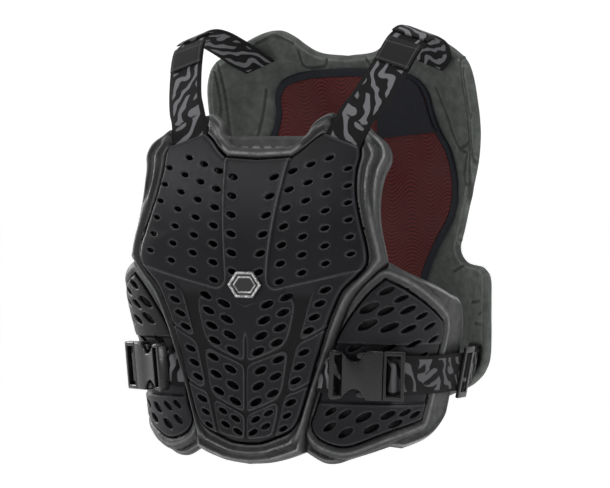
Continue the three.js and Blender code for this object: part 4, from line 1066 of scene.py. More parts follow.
def makeWing(side, word):
    outline = evenly(wingOutline, wing["edgeSpacing"])
    plateEdge = evenly(wingPlateOutline, wing["edgeSpacing"])
    lines = [grown(plateEdge, reach) for reach in wing["plateLines"]]
    coords, faces = cutSheet(outline, [], wing["spacing"], wing["edgeRings"], lines)
    toPlate = -depthInside(coords, plateEdge)
    toEdge = edgeDistance(coords, outline)
    roll = wing["rollBase"] + wing["roll"] * roundRoll(toPlate, wing["rollPlace"], wing["rollHalf"])
    height = np.maximum(wing["flange"] + ridges(toEdge, wing["flangeRidge"]), roll)
    start, run = wing["besideFrom"]
    beside = np.clip((toEdge + toPlate - start) / run, 0, 1)
    # Painted highlights on the roll and the rim, brightest on the rear rim, and painted shade beside the roll
    crest = ridges(toPlate, wing["rollGlint"]) + ridges(toEdge, wing["edgeGlint"]) * beside
    crest -= ridges(toPlate, wing["rollShade"]) * beside
    crest += ridges(toEdge, wing["rearGlint"]) * rising(coords[:, 0], *wing["rearFrom"])
    sunk = falling(toPlate, *wing["sunkFrom"])
    height = mix(height, wing["pocketLift"], sunk)
    height += wing["dents"] * waves(coords, wing["dentSize"], 1.3) * (1 - sunk)
    height -= roundedDrop(toEdge, wing["edgeRound"])
    under = roundedDrop(toEdge, wing["underRound"])
    height = np.maximum(height, under + wing["leastFoam"])
    # The pocket under the plate is painted in full shade
    made = bentShell(f"sidePad{word}", (coords, faces), front, height, under, foam,
                     np.clip(crest * (1 - sunk) - sunk, -1, 1), side)
    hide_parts(f"wing_foam_{word.lower()}")
    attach(made, "root")

    vents = []
    for out, up, size in wing["vents"]:
        middle = (out * wing["reach"], mix(wing["hem"], wing["top"], up))
        length, width = wing["ventLength"] * size, wing["ventWidth"] * size
        vents.append(oval(middle, length, width, wing["ventTilt"], wing["ventSides"]))
    outline = plateEdge
    vents = [vent for vent in vents if (depthInside(vent, outline) > 2).all()]
    low, high = (wing["channelLevel"] + turn * wing["channelHalf"] for turn in (-1, 1))
    slope = wing["channelSlope"]
    girths = np.arange(70, 230, 2.4)
    steps = [np.stack([girths, np.full(len(girths), level + shift)], axis=1)
             for level in (low, high) for shift in (-slope, 0, slope)]
    rings = [grown(vent, lip) for vent in vents for lip in (0.45, wing["ventLip"])]
    steps = [line[ventGap(line, vents) > wing["ventClear"]] for line in steps]
    coords, faces = cutSheet(outline, vents, wing["spacing"], wing["plateRings"], rings + steps)
    gap = ventGap(coords, vents)
    level = coords[:, 1]
    channel = rising(level, low - slope, 2 * slope) * falling(level, high + slope, 2 * slope)
    edge = edgeDistance(coords, outline)
    drop = wing["channelDepth"] * channel + roundedDrop(gap, wing["ventLip"]) - ridges(gap, wing["ventRim"])
    drop += roundedDrop(edge, wing["plateEdgeRound"])
    # Painted highlights on the vent lips, the two step edges of the strap channel and the plate edge, and
    # painted shade at the channel's foot
    crest = ridges(gap, wing["ventGlint"]) + 0.5 * (hump(level, low - 1, 0.8) + hump(level, high + 1, 0.8))
    crest += ridges(edge, wing["plateEdgeGlint"])
    crest -= 0.6 * (hump(level, low + 1.5, 1.2) + hump(level, high - 1.5, 1.2))  # the channel's foot is dark
    top = wing["plateLift"] + wing["plateThickness"] - drop
    made = bentShell(f"sidePlate{word}", (coords, faces), front, top, np.full(len(coords), wing["plateLift"]),
                     shell, np.clip(crest, -1, 1), side)
    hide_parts(f"wing_plate_{word.lower()}")
    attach(made, "root")
    print("side pad and plate", word, len(faces))


for side, word in ((1, "Left"), (-1, "Right")):
    makeWing(side, word)

backPad = {
    "halfGirth": 206, "hem": -200, "top": 231, "thickness": 10, "edgeRound": 4,
    "rows": [
        (0, 0, 1), (0.243, 0.005), (0.413, 0.035), (0.573, 0.081), (0.777, 0.121), (0.932, 0.174),
        (1, 0.24), (0.99, 0.348), (0.922, 0.385), (0.816, 0.406), (0.65, 0.418), (0.602, 0.447),
        (0.636, 0.497), (0.718, 0.596), (0.825, 0.694), (0.874, 0.747), (0.888, 0.812), (0.879, 0.86),
        (0.835, 0.902), (0.733, 0.933), (0.6, 0.962), (0.5, 0.979), (0.42, 0.986), (0.36, 0.984),
        (0.3, 0.97), (0.25, 0.951), (0.18, 0.932), (0, 0.922, 1),
    ],
    "grooveDepth": 1.9, "grooveHalf": 2.1, "grooveLines": (-3.2, -1.6, 0, 1.6, 3.2), "leastFoam": 2.5,
    "innerDents": 0.8, "innerDentSize": 11, "outerDents": 0.25, "outerDentSize": 9,
    "edgeGlint": [(0.55, 3.0, 1.2)], "grooveGlint": [(0.5, 0.25, 0.15)], "grooveShade": 0.75,
    # Moulded lines on the inner face, one side, girth and height
    "grooves": [
        [(112, 165), (124, 128), (130, 112), (139, 100), (152, 96)],
        [(139, 100), (158, 108), (162, 120)],
        [(152, 96), (146, 84), (142, 70), (147, 62), (153, 74), (157, 92)],
        [(166, 196), (163, 160), (161, 120), (155, 84), (146, 52), (138, 20)],
        [(172, 184), (170, 140), (174, 132), (179, 136)],
        [(168, 122), (163, 82), (168, 74), (172, 80)],
        [(132, 8), (127, 2)], [(120, -30), (134, -24)],
        [(150, -62), (170, -60)], [(165, -74), (184, -70)], [(160, -84), (186, -84)],
        [(26, 196), (30, 190), (58, 190), (60, 206)],
        [(64, 214), (84, 222), (112, 214)],
    ],
}
meshPanel = {
    "halfGirth": 131, "hem": -150, "top": 187, "thickness": 1.4, "border": 8, "borderThickness": 2,
    "rows": [
        (0, 0, 1), (0.38, 0.015), (0.52, 0.12), (0.595, 0.267), (0.64, 0.34), (0.77, 0.436), (0.947, 0.534),
        (1, 0.626), (0.947, 0.736), (0.847, 0.8), (0.794, 0.86), (0.78, 0.914), (0.7, 0.96), (0.475, 0.99),
        (0, 1, 1),
    ],
    "puff": 0.9, "puffReach": 20, "flapThickness": 1,
    "flapRows": [(-107, 119), (-101, 127), (-98, 139), (-95.5, 155), (-91, 168), (-80, 177), (-34, 180),
                 (-24, 112)],
}
layGap = 0.99  # between layers that lie on each other
backOutline = smoothOutline(mirroredRows(scaledRows(
    backPad["rows"], backPad["halfGirth"], backPad["hem"], backPad["top"])))
meshOutline = smoothOutline(mirroredRows(scaledRows(
    meshPanel["rows"], meshPanel["halfGirth"], meshPanel["hem"], meshPanel["top"])))


def makeBackPad():
    outline = evenly(backOutline, 2.8)
    meshEdge = evenly(meshOutline, 3)
    grooveLines = [curveThrough(line, 8) for line in backPad["grooves"]]
    lines = [alongLine(line, 1.6, aside) * (turn, 1) for line in grooveLines
             for aside in backPad["grooveLines"] for turn in (1, -1)]
    lines += [grown(meshEdge, reach) for reach in (0.5, 2.5)]
    coords, faces = cutSheet(outline, [], 3.1, (0.4, 1.3, 2.8, 5), lines)
    folded = foldedOver(coords)
    toEdge = edgeDistance(coords, outline)
    groove = np.zeros(len(coords))
    for line in grooveLines:
        groove = np.maximum(groove, hump(lineDistance(folded, line), 0, backPad["grooveHalf"]))
    outside = -depthInside(coords, meshEdge)
    dent = backPad["innerDents"] * waves(coords, backPad["innerDentSize"], 2.1) * ease(outside / 6)
    inner = np.maximum(backPad["grooveDepth"] * groove + dent, 0) + roundedDrop(toEdge, backPad["edgeRound"])
    outer = backPad["thickness"] - roundedDrop(toEdge, backPad["edgeRound"] + 1)
    outer = outer + backPad["outerDents"] * waves(coords, backPad["outerDentSize"], 0.7) * ease(toEdge / 8)
    outer = np.maximum(outer, inner + backPad["leastFoam"])
    made = bentShell("backPad", (coords, faces), back, outer, inner, backFoamFinish)
    values = np.zeros(2 * len(coords))
    # Painted highlights along the edge and the groove rims, painted shade in the grooves
    under = ridges(toEdge, backPad["edgeGlint"]) + ridges(groove, backPad["grooveGlint"])
    under -= backPad["grooveShade"] * rising(groove, 0.4, 0.6)
    values[len(coords):] = np.clip(under, -1, 1)  # the inner face is the shell's under side
    made.data.attributes["crest"].data.foreach_set("value", values)
    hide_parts("back_foam")
    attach(made, "root")
    print("back pad", len(faces))

    inset = grown(meshEdge, -meshPanel["border"])
    coords, faces = cutSheet(inset, [], 3.2)
    lift = -layGap - meshPanel["thickness"]
    puff = meshPanel["puff"] * ease(edgeDistance(coords, inset) / meshPanel["puffReach"])
    cloth = bentShell("backMesh", (coords, faces), back, np.full(len(coords), lift + 0.9),
                      lift - puff * 0.5, knit)
    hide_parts("back_mesh")
    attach(cloth, "root")

    coords, faces = cutSheet(meshEdge, [inset], 2.6, (0.6, 1.5))
    gap = np.minimum(edgeDistance(coords, meshEdge), edgeDistance(coords, inset))
    inner = -layGap - meshPanel["borderThickness"] + roundedDrop(gap, 1.5)
    trim = bentShell("meshBorder", (coords, faces), back, np.full(len(coords), -0.2),
                     np.minimum(inner, -0.6), binding)
    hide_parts("mesh_border")
    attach(trim, "root")

    outline = evenly(counterClockwise(np.array(meshPanel["flapRows"], float)), 2.6)
    coords, faces = cutSheet(outline, [], 3, (0.5,))
    base = lift - layGap - meshPanel["flapThickness"]
    flap = bentShell("meshFlap", (coords, faces), back, np.full(len(coords), base + 0.8),
                     base - 0.2 + 0.5 * roundedDrop(edgeDistance(coords, outline), 0.8), flapCloth)
    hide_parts("mesh_flap")
    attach(flap, "root")
    print("back mesh", len(faces))


makeBackPad()

# Webbing is a ribbon through stations: middle, across and outwards, with a lift and a half width
webbingSize = {
    "width": 40, "thickness": 2, "level": -125, "shoulderWidth": 42, "shoulderThickness": 2.2,
    "patchLength": 27, "patchThickness": 1.6, "patchInset": 1.2, "fitGap": 0.6, "tabTuck": 4.5, "seam": 150,
    "edgeTaper": 0.35, "edgeSoft": 1.2,
}


def ribbon(name, stations, material, thickness, steps=8, across=10):
    lows = np.array([s[0] for s in stations], float)
    highs = np.array([s[1] for s in stations], float)
    ups = np.array([s[2] for s in stations], float)
    lowLine, highLine = curveThrough(lows, steps), curveThrough(highs, steps)
    upLine = curveThrough(ups, steps)
    upLine /= np.linalg.norm(upLine, axis=1, keepdims=True)
    middle = (lowLine + highLine) / 2
    run = np.concatenate([[0], np.cumsum(np.linalg.norm(np.diff(middle, axis=0), axis=1))])
    width = np.linalg.norm(highs[0] - lows[0])
    shares = np.linspace(0, 1, across + 1)
    profile = [(share, 0.0) for share in shares] + [(share, 1.0) for share in shares[::-1]]
    points, flat = [], []
    for row in range(len(middle)):
        for share, rise in profile:
            edge = min(share, 1 - share) * width
            soft = webbingSize["edgeTaper"] * max(0, 1 - edge / webbingSize["edgeSoft"]) ** 2
            lift = thickness * (rise * (1 - soft) + (1 - rise) * soft)
            points.append(mix(lowLine[row], highLine[row], share) + upLine[row] * lift)
            flat.append(((share - 0.5) * width / perMetre, run[row] / perMetre))
    count = len(profile)
    faces = []
    for row in range(len(middle) - 1):
        for corner in range(count):
            after = (corner + 1) % count
            a, b = row * count + corner, row * count + after
            faces.append((a, b, b + count, a + count))
    faces.append(tuple(range(count - 1, -1, -1)))
    faces.append(tuple(len(points) - count + corner for corner in range(count)))
    made = newObject(name, toScene(np.array(points)), faces, material, flat=np.array(flat))
    fixNormals(made)
    return made


def fixNormals(made):
    sheet = bmesh.new()
    sheet.from_mesh(made.data)
    bmesh.ops.recalc_face_normals(sheet, faces=sheet.faces)
    sheet.to_mesh(made.data)
    sheet.free()
    made.data.shade_smooth()
    made.data.set_sharp_from_angle(angle=math.radians(50))


def mirrorPoints(stations, side):
    return [tuple(np.array(part, float) * (side, 1, 1) for part in station) for station in stations]


def surfaceStation(guide, low, high, lift):
    lowPoint = bentTo(guide, low[0], low[1], lift)
    highPoint = bentTo(guide, high[0], high[1], lift)
    girth, level = (low[0] + high[0]) / 2, (low[1] + high[1]) / 2
    up = bentTo(guide, girth, level, lift + 1) - bentTo(guide, girth, level, lift)
    return lowPoint, highPoint, up


shoulder = {
    "crestHalfSpan": 131, "heelGirth": 112, "heelLevel": 190, "tuck": 14, "lay": 6, "footLift": 13.3,
    "frontStart": 0.14, "frontEnd": 0.52, "backStart": 0.46, "backEnd": 0.9, "patchStart": 0.3,
    "route": [  # back, rise, out: shares of the way from foot to heel and from foot to crest
        (0.06, 0.21, 0.18), (0.12, 0.36, 0.43), (0.27, 0.7, 0.8), (0.37, 0.9, 0.95), (0.46, 0.98, 1),
        (0.55, 1, 1), (0.68, 0.98, 0.95), (0.79, 0.93, 0.85), (0.9, 0.85, 0.64),
    ],
}
footPoint = bentTo(front, strapFoot["girth"], strapFoot["level"], shoulder["footLift"])
heelPoint = bentTo(back, -shoulder["heelGirth"], shoulder["heelLevel"],
                   -webbingSize["shoulderThickness"] - layGap)
routePoints = [footPoint] + [
    np.array([mix(footPoint[0], shoulder["crestHalfSpan"], out), mix(footPoint[1], heelPoint[1], backShare),
              mix(footPoint[2], crestLevel, rise)])
    for backShare, rise, out in shoulder["route"]] + [heelPoint]
routeFineness = 40
routeLine = curveThrough(routePoints, routeFineness)
tiltAngle = math.radians(strapFoot["tilt"])
acrossShoulder = np.array([math.cos(tiltAngle), 0, -math.sin(tiltAngle)])


def routeStation(share, lift, half):
    place = share * (len(routeLine) - 1)
    index = min(len(routeLine) - 2, max(1, int(place)))
    point = mix(routeLine[index], routeLine[index + 1], place - index)
    along = routeLine[index + 1] - routeLine[index - 1]
    outwards = np.cross(acrossShoulder, along)
    outwards /= np.linalg.norm(outwards)
    across = np.cross(along, outwards)
    across /= np.linalg.norm(across)
    return point - across * half + outwards * lift, point + across * half + outwards * lift, outwards


def panelPlaces(middle, across, half):
    reach = np.array(across) * half
    return tuple(np.array(middle) - reach), tuple(np.array(middle) + reach)


def makeShoulder(side, word):
    half = webbingSize["shoulderWidth"] / 2
    thick = webbingSize["shoulderThickness"]
    lean = np.array([strapFoot["lean"], 1]) / math.hypot(strapFoot["lean"], 1)
    across = np.array([math.cos(tiltAngle), -math.sin(tiltAngle)])
    foot = np.array([strapFoot["girth"], strapFoot["level"]])
    stations = []
    for distance in (-shoulder["tuck"], -4, shoulder["lay"]):
        low, high = panelPlaces(foot + lean * distance, across, half)
        stations.append(surfaceStation(front, low, high, shoulder["footLift"]))
    for share in np.linspace(shoulder["frontStart"], shoulder["frontEnd"], 10):
        stations.append(routeStation(share, 0, half))
    lower = ribbon(f"frontStrap{word}", mirrorPoints(stations, side), webbing, thick)
    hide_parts(f"front_strap_{word.lower()}")

    crestLift = thick + webbingSize["fitGap"]
    stations = []
    for share in np.linspace(0, 1, 12):
        lift = mix(crestLift, -layGap, share ** 2)
        stations.append(routeStation(mix(shoulder["backStart"], shoulder["backEnd"], share), lift, half))
    heelAcross = (-across[0], across[1])
    low, high = panelPlaces((-shoulder["heelGirth"], shoulder["heelLevel"]), heelAcross, half)
    stations.append(surfaceStation(back, low, high, -thick - layGap))
    upper = ribbon(f"backStrap{word}", mirrorPoints(stations, side), webbing, thick)
    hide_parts(f"back_strap_{word.lower()}")

    length = np.linalg.norm(np.diff(routeLine, axis=0), axis=1).sum()
    share = webbingSize["patchLength"] / length
    stations = [routeStation(shoulder["patchStart"] + share * step / 4, crestLift - webbingSize["fitGap"] / 2,
                             half - webbingSize["patchInset"])
                for step in range(5)]
    patch = ribbon(f"strapPatch{word}", mirrorPoints(stations, side), patchCloth,
                   webbingSize["patchThickness"])
    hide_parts(f"strap_patch_{word.lower()}")
    for piece, slot in ((lower, "webbing"), (upper, "webbing"), (patch, "patch")):
        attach(piece, "root")


for side, word in ((1, "Left"), (-1, "Right")):
    makeShoulder(side, word)
print("shoulder straps made")

buckle = {
    "girth": 140, "length": 76, "height": 50, "thickness": 11, "bar": 4, "socketLength": 54, "bite": 11,
    "plugThickness": 8, "prongThickness": 4.4, "prongWidth": 6.5, "prongInset": 2.2, "socketBar": 5,
    "socketSlot": 8, "biteStart": 1.65, "sliderGirth": 258, "sliderLength": 20, "sliderHeight": 54,
    "sliderThickness": 3.6, "barHalf": 1.6, "round": 1.3, "ringRound": 0.9, "barRound": 0.4,
    "prongRound": 0.8, "prongMouthHalf": 3.9, "prongShoulder": 3, "prongTipHalf": 1.5, "prongOverlap": 2,
    "softEdge": 0.7, "softAngle": 50,
}


def strapFrame(girth, length, lift):
    level = webbingSize["level"]
    start, end = (bentTo(front, girth + turn * length / 2, level, lift) for turn in (-1, 1))
    along = (end - start) / np.linalg.norm(end - start)
    foot, head = (bentTo(front, girth, level + turn * webbingSize["width"] / 2, lift) for turn in (-1, 1))
    outwards = np.cross(along, head - foot)
    outwards /= np.linalg.norm(outwards)
    upwards = np.cross(outwards, along)
    return {"origin": bentTo(front, girth, level, lift), "along": along, "up": upwards, "out": outwards}


def inFrame(base, x, y, z):
    x, y, z = (np.asarray(value, float)[..., None] for value in (x, y, z))
    return base["origin"] + base["along"] * x + base["up"] * y + base["out"] * z


buckleLift = wing["thickness"] + webbingSize["thickness"] + layGap
buckleBase = strapFrame(buckle["girth"], buckle["length"], buckleLift)
sliderLift = buckleLift + layGap + webbingSize["fitGap"]
sliderBase = strapFrame(buckle["sliderGirth"], buckle["sliderLength"], sliderLift)
socketStart = -buckle["length"] / 2
socketEnd = socketStart + buckle["socketLength"]
openingHalf = webbingSize["width"] / 2 + webbingSize["fitGap"]
plugStart = socketEnd + webbingSize["fitGap"]
plugEnd = buckle["length"] / 2
plugOpening = (plugStart + buckle["bar"] - 1, plugEnd - buckle["bar"])
plugLift = webbingSize["thickness"] + webbingSize["fitGap"]
sliderOpening = (-buckle["sliderLength"] / 2 + buckle["bar"], buckle["sliderLength"] / 2 - buckle["bar"])


def block(sheet, xs, ys, zs):
    made = bmesh.ops.create_cube(sheet, size=1)
    for vertex in made["verts"]:
        x, y, z = (part + 0.5 for part in vertex.co)
        vertex.co = Vector((mix(*xs, x), mix(*ys, y), mix(*zs, z)))


def outlineSolid(outline, low, high, rounding, openings=()):
    sheet = bmesh.new()
    base = [sheet.verts.new((x, y, low)) for x, y in outline]
    sheet.faces.new(base)
    made = bmesh.ops.extrude_face_region(sheet, geom=list(sheet.faces))
    for item in made["geom"]:
        if isinstance(item, bmesh.types.BMVert):
            item.co.z = high
    bmesh.ops.recalc_face_normals(sheet, faces=sheet.faces)
    rims = [edge for edge in sheet.edges if len(edge.link_faces) == 2
            and abs(edge.verts[0].co.z - edge.verts[1].co.z) < 1e-6]
    if rounding > 0:
        bmesh.ops.bevel(sheet, geom=rims, offset=rounding, segments=3, profile=0.5, affect="EDGES")
    mesh = bpy.data.meshes.new("piece")
    sheet.to_mesh(mesh)
    sheet.free()
    made = bpy.data.objects.new("piece", mesh)
    bpy.context.scene.collection.objects.link(made)
    for xs, ys, zs in openings:
        cutter = bmesh.new()
        block(cutter, xs, ys, zs)
        cutterMesh = bpy.data.meshes.new("cutter")
        cutter.to_mesh(cutterMesh)
        cutter.free()
        tool = bpy.data.objects.new("cutter", cutterMesh)
        bpy.context.scene.collection.objects.link(tool)
        cut = made.modifiers.new("cut", "BOOLEAN")
        cut.object = tool
        cut.solver = "EXACT"
        bpy.context.view_layer.update()
        done = bpy.data.meshes.new_from_object(made.evaluated_get(bpy.context.evaluated_depsgraph_get()))
        made.modifiers.clear()
        made.data = done
        bpy.data.objects.remove(tool)
    return made


def finishHardware(pieces, name, base, side, nodeName, material):
    points, faces = [], []
    for piece in pieces:
        offset = len(points)
        local = np.array([tuple(v.co) for v in piece.data.vertices])
        placed = inFrame(base, local[:, 0], local[:, 1], local[:, 2])
        points += list(placed)
        faces += [tuple(offset + i for i in face.vertices) for face in piece.data.polygons]
        bpy.data.objects.remove(piece)
    points = toScene(np.array(points))
    if side < 0:
        points[:, 0] *= -1
        faces = [face[::-1] for face in faces]
    made = newObject(name, points, faces, material, 40)
    soften = made.modifiers.new("soften", "BEVEL")
    soften.width = buckle["softEdge"] / perMetre
    soften.segments = 2
    soften.angle_limit = math.radians(buckle["softAngle"])
    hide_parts(nodeName)
    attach(made, "root")
    return made


def socketOutline():
    half = buckle["height"] / 2
    middle = (socketStart + socketEnd) / 2
    lobe = socketStart + buckle["socketBar"] + buckle["socketSlot"]
    bite, start = buckle["bite"], buckle["biteStart"]
    points = [(socketStart + buckle["socketBar"], -half)]
    for turn in (-1, 1):
        arc = []
        one, two = (lobe, turn * (half - start)), (middle, turn * (half - 2 * bite))
        three = (middle + bite, turn * half)
        for step in range(13):
            t = step / 12
            arc.append(tuple((1 - t) ** 2 * a + 2 * t * (1 - t) * b + t * t * c
                             for a, b, c in zip(one, two, three)))
        if turn < 0:
            points += arc + [(socketEnd, -half), (socketEnd, half)]
        else:
            points += arc[::-1] + [(socketStart + buckle["socketBar"], half)]
    for turn, corner in ((1, half), (-1, -half)):
        for step in range(1, 6):
            angle = step / 6 * math.pi / 2
            if turn < 0:
                angle = math.pi / 2 - angle
            x = socketStart + buckle["socketBar"] * (1 - math.sin(angle))
            y = corner - turn * buckle["socketBar"] * (1 - math.cos(angle))
            points.append((x, y))
    return points


def tail(start, end, height, opening, lift, thickness):
    half = height / 2
    outline = [(start, -half), (end, -half), (end, half), (start, half)]
    middle = sum(opening) / 2
    ring = outlineSolid(outline, lift, lift + thickness, buckle["ringRound"],
                        [(opening, (-openingHalf, openingHalf), (lift - 5, lift + thickness + 5))])
    left, right, reach = middle - buckle["barHalf"], middle + buckle["barHalf"], openingHalf + 1
    bar = outlineSolid([(left, -reach), (right, -reach), (right, reach), (left, reach)],
                       lift, lift + thickness / 3, buckle["barRound"])
    return [ring, bar]


def makeBuckle(side, word):
    prongLift = (buckle["thickness"] - buckle["prongThickness"]) / 2
    prongOffset = buckle["height"] / 2 - buckle["prongInset"] - buckle["prongWidth"]
    middle = (socketStart + socketEnd) / 2
    slot = ((socketStart + buckle["socketBar"], socketStart + buckle["socketBar"] + buckle["socketSlot"]),
            (-openingHalf, openingHalf), (-15, 25))
    gap, reach = webbingSize["fitGap"], buckle["prongMouthHalf"]
    centres = [turn * (prongOffset + buckle["prongWidth"] / 2) for turn in (-1, 1)]
    mouths = [((middle, socketEnd + 1), (centre - reach, centre + reach),
               (prongLift - gap, prongLift + buckle["prongThickness"] + gap)) for centre in centres]
    body = outlineSolid(socketOutline(), 0, buckle["thickness"], buckle["round"], [slot] + mouths)
    finishHardware([body], f"buckleSocket{word}", buckleBase, side, f"buckle_socket_{word.lower()}",
                   buckleFinish)
    pieces = tail(plugStart, plugEnd, buckle["height"], plugOpening, plugLift, buckle["plugThickness"])
    for turn in (-1, 1):
        low, high = sorted((turn * prongOffset, turn * (prongOffset + buckle["prongWidth"])))
        tip = middle + webbingSize["fitGap"]
        root, neck = plugStart + buckle["prongOverlap"], tip + buckle["prongShoulder"]
        centre, reach = (low + high) / 2, buckle["prongTipHalf"]
        prong = [(neck, low), (root, low), (root, high), (neck, high),
                 (tip, centre + reach), (tip, centre - reach)]
        prongTop = prongLift + buckle["prongThickness"]
        pieces.append(outlineSolid(prong, prongLift, prongTop, buckle["prongRound"]))
    finishHardware(pieces, f"bucklePlug{word}", buckleBase, side, f"buckle_plug_{word.lower()}", buckleFinish)
    half = buckle["sliderLength"] / 2
    pieces = tail(-half, half, buckle["sliderHeight"], sliderOpening, 0, buckle["sliderThickness"])
    finishHardware(pieces, f"strapSlider{word}", sliderBase, side, f"strap_slider_{word.lower()}",
                   buckleFinish)


for side, word in ((1, "Left"), (-1, "Right")):
    makeBuckle(side, word)
print("buckles made")


def frameStation(base, along, lift):
    half = webbingSize["width"] / 2
    return inFrame(base, along, -half, lift), inFrame(base, along, half, lift), base["out"]


def waistStation(guide, girth, lift, slant=0):
    low = (girth - slant, webbingSize["level"] - webbingSize["width"] / 2)
    high = (girth + slant, webbingSize["level"] + webbingSize["width"] / 2)
    return surfaceStation(guide, low, high, lift)


def overBar(base, opening, lift, barTop):
    middle, gap = sum(opening) / 2, webbingSize["fitGap"]
    places = [(opening[0] - buckle["bar"], lift), (opening[0] + gap, lift + 0.2),
              (middle - buckle["barHalf"], barTop), (middle + buckle["barHalf"], barTop),
              (opening[1] - gap, lift + 0.2), (opening[1] + buckle["bar"], lift)]
    return [frameStation(base, along, rise) for along, rise in places]


def seamGirth(height):
    rows = scaledRows(seamRows, chestPad["halfGirth"], chestPad["hem"], chestPad["top"])
    return float(np.interp(height, [row[1] for row in rows], [row[0] for row in rows]))


def makeWaist(side, word):
    gap, thick, level = webbingSize["fitGap"], webbingSize["thickness"], webbingSize["level"]
    start = seamGirth(level) - webbingSize["tabTuck"]
    slant = (seamGirth(level + 20) - seamGirth(level - 20)) / 2
    tabLift = wing["thickness"] + layGap
    lobe = socketStart + buckle["socketBar"]
    stations = [
        waistStation(front, start, tabLift, slant),
        waistStation(front, start + webbingSize["tabTuck"], tabLift, slant),
        frameStation(buckleBase, socketStart - 1, -thick - layGap),
        frameStation(buckleBase, lobe + gap, -thick - layGap),
        frameStation(buckleBase, lobe + buckle["socketSlot"] - 2 * gap, thick),
    ]
    tab = ribbon(f"waistTab{word}", mirrorPoints(stations, side), webbing, thick, 5)
    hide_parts(f"waist_tab_{word.lower()}")
    stations = overBar(buckleBase, plugOpening, -gap, plugLift + buckle["plugThickness"] / 3 + gap)[1:]
    spacing = 15
    girth = buckle["girth"] + buckle["length"] / 2 + spacing
    while girth < buckle["sliderGirth"] - buckle["sliderLength"]:
        stations.append(waistStation(front, girth, wing["thickness"] + layGap + gap))
        girth += spacing
    stations += overBar(sliderBase, sliderOpening, -thick - gap, buckle["sliderThickness"] / 3 + gap)
    rear = backPad["halfGirth"] - webbingSize["width"] / 2
    for step in range(4):
        girth = -mix(rear, webbingSize["seam"], step / 3)
        stations.append(waistStation(back, girth, -thick - layGap))
    strap = ribbon(f"waistStrap{word}", mirrorPoints(stations, side), waistWebbing, thick, 5)
    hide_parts(f"waist_strap_{word.lower()}")
    for piece in (tab, strap):
        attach(piece, "root")


for side, word in ((1, "Left"), (-1, "Right")):
    makeWaist(side, word)
print("waist webbing made")

badge = {
    "width": 40, "height": 27, "level": -38, "gap": 0.6, "base": 1.0, "rimHeight": 1.6, "rimSpan": (2.2, 0.8),
    "line": [(1, 5.8, 0.55)], "lineHeight": 0.7, "rings": (0.3, 0.8, 1.4, 2.2, 2.8, 3.3, 5.2, 5.8, 6.4),
}


def makeBadge():
    turns = np.arange(6) / 6 * 2 * math.pi
    corners = np.stack([np.cos(turns) * badge["width"] / 2,
                        badge["level"] + np.sin(turns) * badge["height"] / math.sqrt(3)], axis=1)
    outline = evenly(corners, 1.0)
    lines = [grown(outline, -reach) for reach in badge["rings"]]
    coords, faces = cutSheet(outline, [], 0.9, (), lines)
    depth = edgeDistance(coords, outline)
    start, slope = badge["rimSpan"]
    rim = rising(depth, 0, slope) * (1 - rising(depth, start, slope))
    inner = ridges(depth, badge["line"])
    lift = plate["lift"] + plate["thickness"] + badge["gap"]
    top = lift + badge["base"] + badge["rimHeight"] * rim + badge["lineHeight"] * inner
    crest = np.clip(rim * 1.3 + inner, 0, 1)
    made = bentShell("badge", (coords, faces), front, top, np.full(len(coords), lift), badgeFinish, crest)
    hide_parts("badge")
    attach(made, "root")


makeBadge()
print("badge made")

# The studio is in metres: the world glows behind the object as seen from the photo, and is dim in front
studio = {
    "floorLevel": -0.95, "floorSize": 30, "azimuth": 30, "elevation": 1.83, "distance": 3.101,
    "lens": 173.8, "sensorWidth": 36, "clip": (0.05, 100),
    "floorGlow": 0.52, "aim": (0, 0, -0.218), "backdrop": (-0.5, 0.866, 0),
    "glow": {"From Min": -0.3, "From Max": 0.7, "To Min": 0.16, "To Max": 1.04},
    # Name, place, size and power of each lamp
    "lamps": [
        ("keyLight", (-1.5, -1.5, 1.0), 0.6, 15), ("topLight", (0.3, -0.4, 1.6), 0.7, 21),
        ("rimLight", (1.7, -0.5, 0.1), 0.4, 9), ("leftRim", (-1.5, 0.1, 0.0), 0.4, 10),
    ],
}


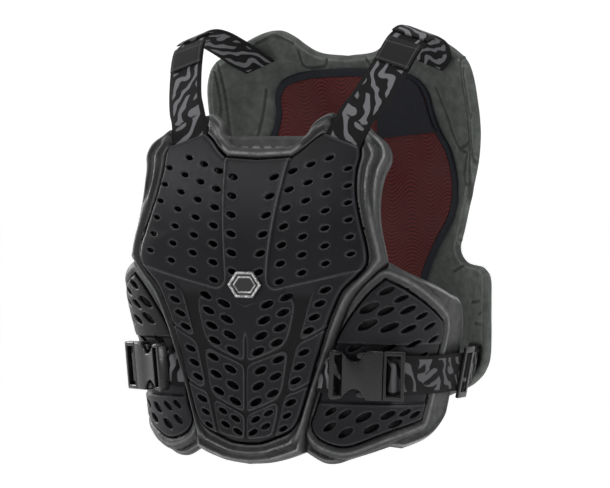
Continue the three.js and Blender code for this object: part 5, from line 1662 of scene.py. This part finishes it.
def makeStudio():
    sheet = bmesh.new()
    bmesh.ops.create_grid(sheet, x_segments=1, y_segments=1, size=studio["floorSize"])
    mesh = bpy.data.meshes.new("floor")
    sheet.to_mesh(mesh)
    sheet.free()
    floor = bpy.data.objects.new("floor", mesh)
    floor.location = (0, 0, studio["floorLevel"])
    bpy.context.scene.collection.objects.link(floor)
    nodes = Nodes("paleFloor")
    grain = nodes.noise(nodes.place(), 40, 3, 0.5)
    nodes.link(nodes.ramp(grain, [(0.3, 0.9), (0.7, 0.93)]), nodes.shader.inputs["Base Color"])
    nodes.shader.inputs["Roughness"].default_value = 0.9
    nodes.shader.inputs["Emission Color"].default_value = (1, 1, 1, 1)
    nodes.shader.inputs["Emission Strength"].default_value = studio["floorGlow"]
    mesh.materials.append(nodes.material)

    world = bpy.data.worlds.new("studioWorld")
    world.use_nodes = True
    tree = world.node_tree
    background = tree.nodes["Background"]
    background.inputs["Color"].default_value = (1, 1, 1, 1)
    place = tree.nodes.new("ShaderNodeTexCoord")
    facing = tree.nodes.new("ShaderNodeVectorMath")
    facing.operation = "DOT_PRODUCT"
    facing.inputs[1].default_value = studio["backdrop"]
    glow = tree.nodes.new("ShaderNodeMapRange")
    for key, value in studio["glow"].items():
        glow.inputs[key].default_value = value
    tree.links.new(place.outputs["Generated"], facing.inputs[0])
    tree.links.new(facing.outputs["Value"], glow.inputs["Value"])
    tree.links.new(glow.outputs["Result"], background.inputs["Strength"])
    bpy.context.scene.world = world

    for name, place, size, power in studio["lamps"]:
        light = bpy.data.lights.new(name, "AREA")
        light.size = size
        light.energy = power
        lamp = bpy.data.objects.new(name, light)
        lamp.location = place
        aim = Vector(studio["aim"]) - Vector(place)
        lamp.rotation_euler = aim.to_track_quat("-Z", "Y").to_euler()
        bpy.context.scene.collection.objects.link(lamp)

    data = bpy.data.cameras.new("photoCamera")
    data.lens = studio["lens"]
    data.sensor_width = studio["sensorWidth"]
    camera = bpy.data.objects.new("photoCamera", data)
    turn, rise = math.radians(studio["azimuth"]), math.radians(studio["elevation"])
    away = Vector((math.sin(turn) * math.cos(rise), -math.cos(turn) * math.cos(rise), math.sin(rise)))
    camera.location = Vector(studio["aim"]) + away * studio["distance"]
    camera.rotation_euler = (-away).to_track_quat("-Z", "Y").to_euler()
    data.clip_start, data.clip_end = studio["clip"]
    bpy.context.scene.collection.objects.link(camera)
    bpy.context.scene.camera = camera
    bpy.context.scene.view_settings.view_transform = "Standard"


makeStudio()
print("studio made")
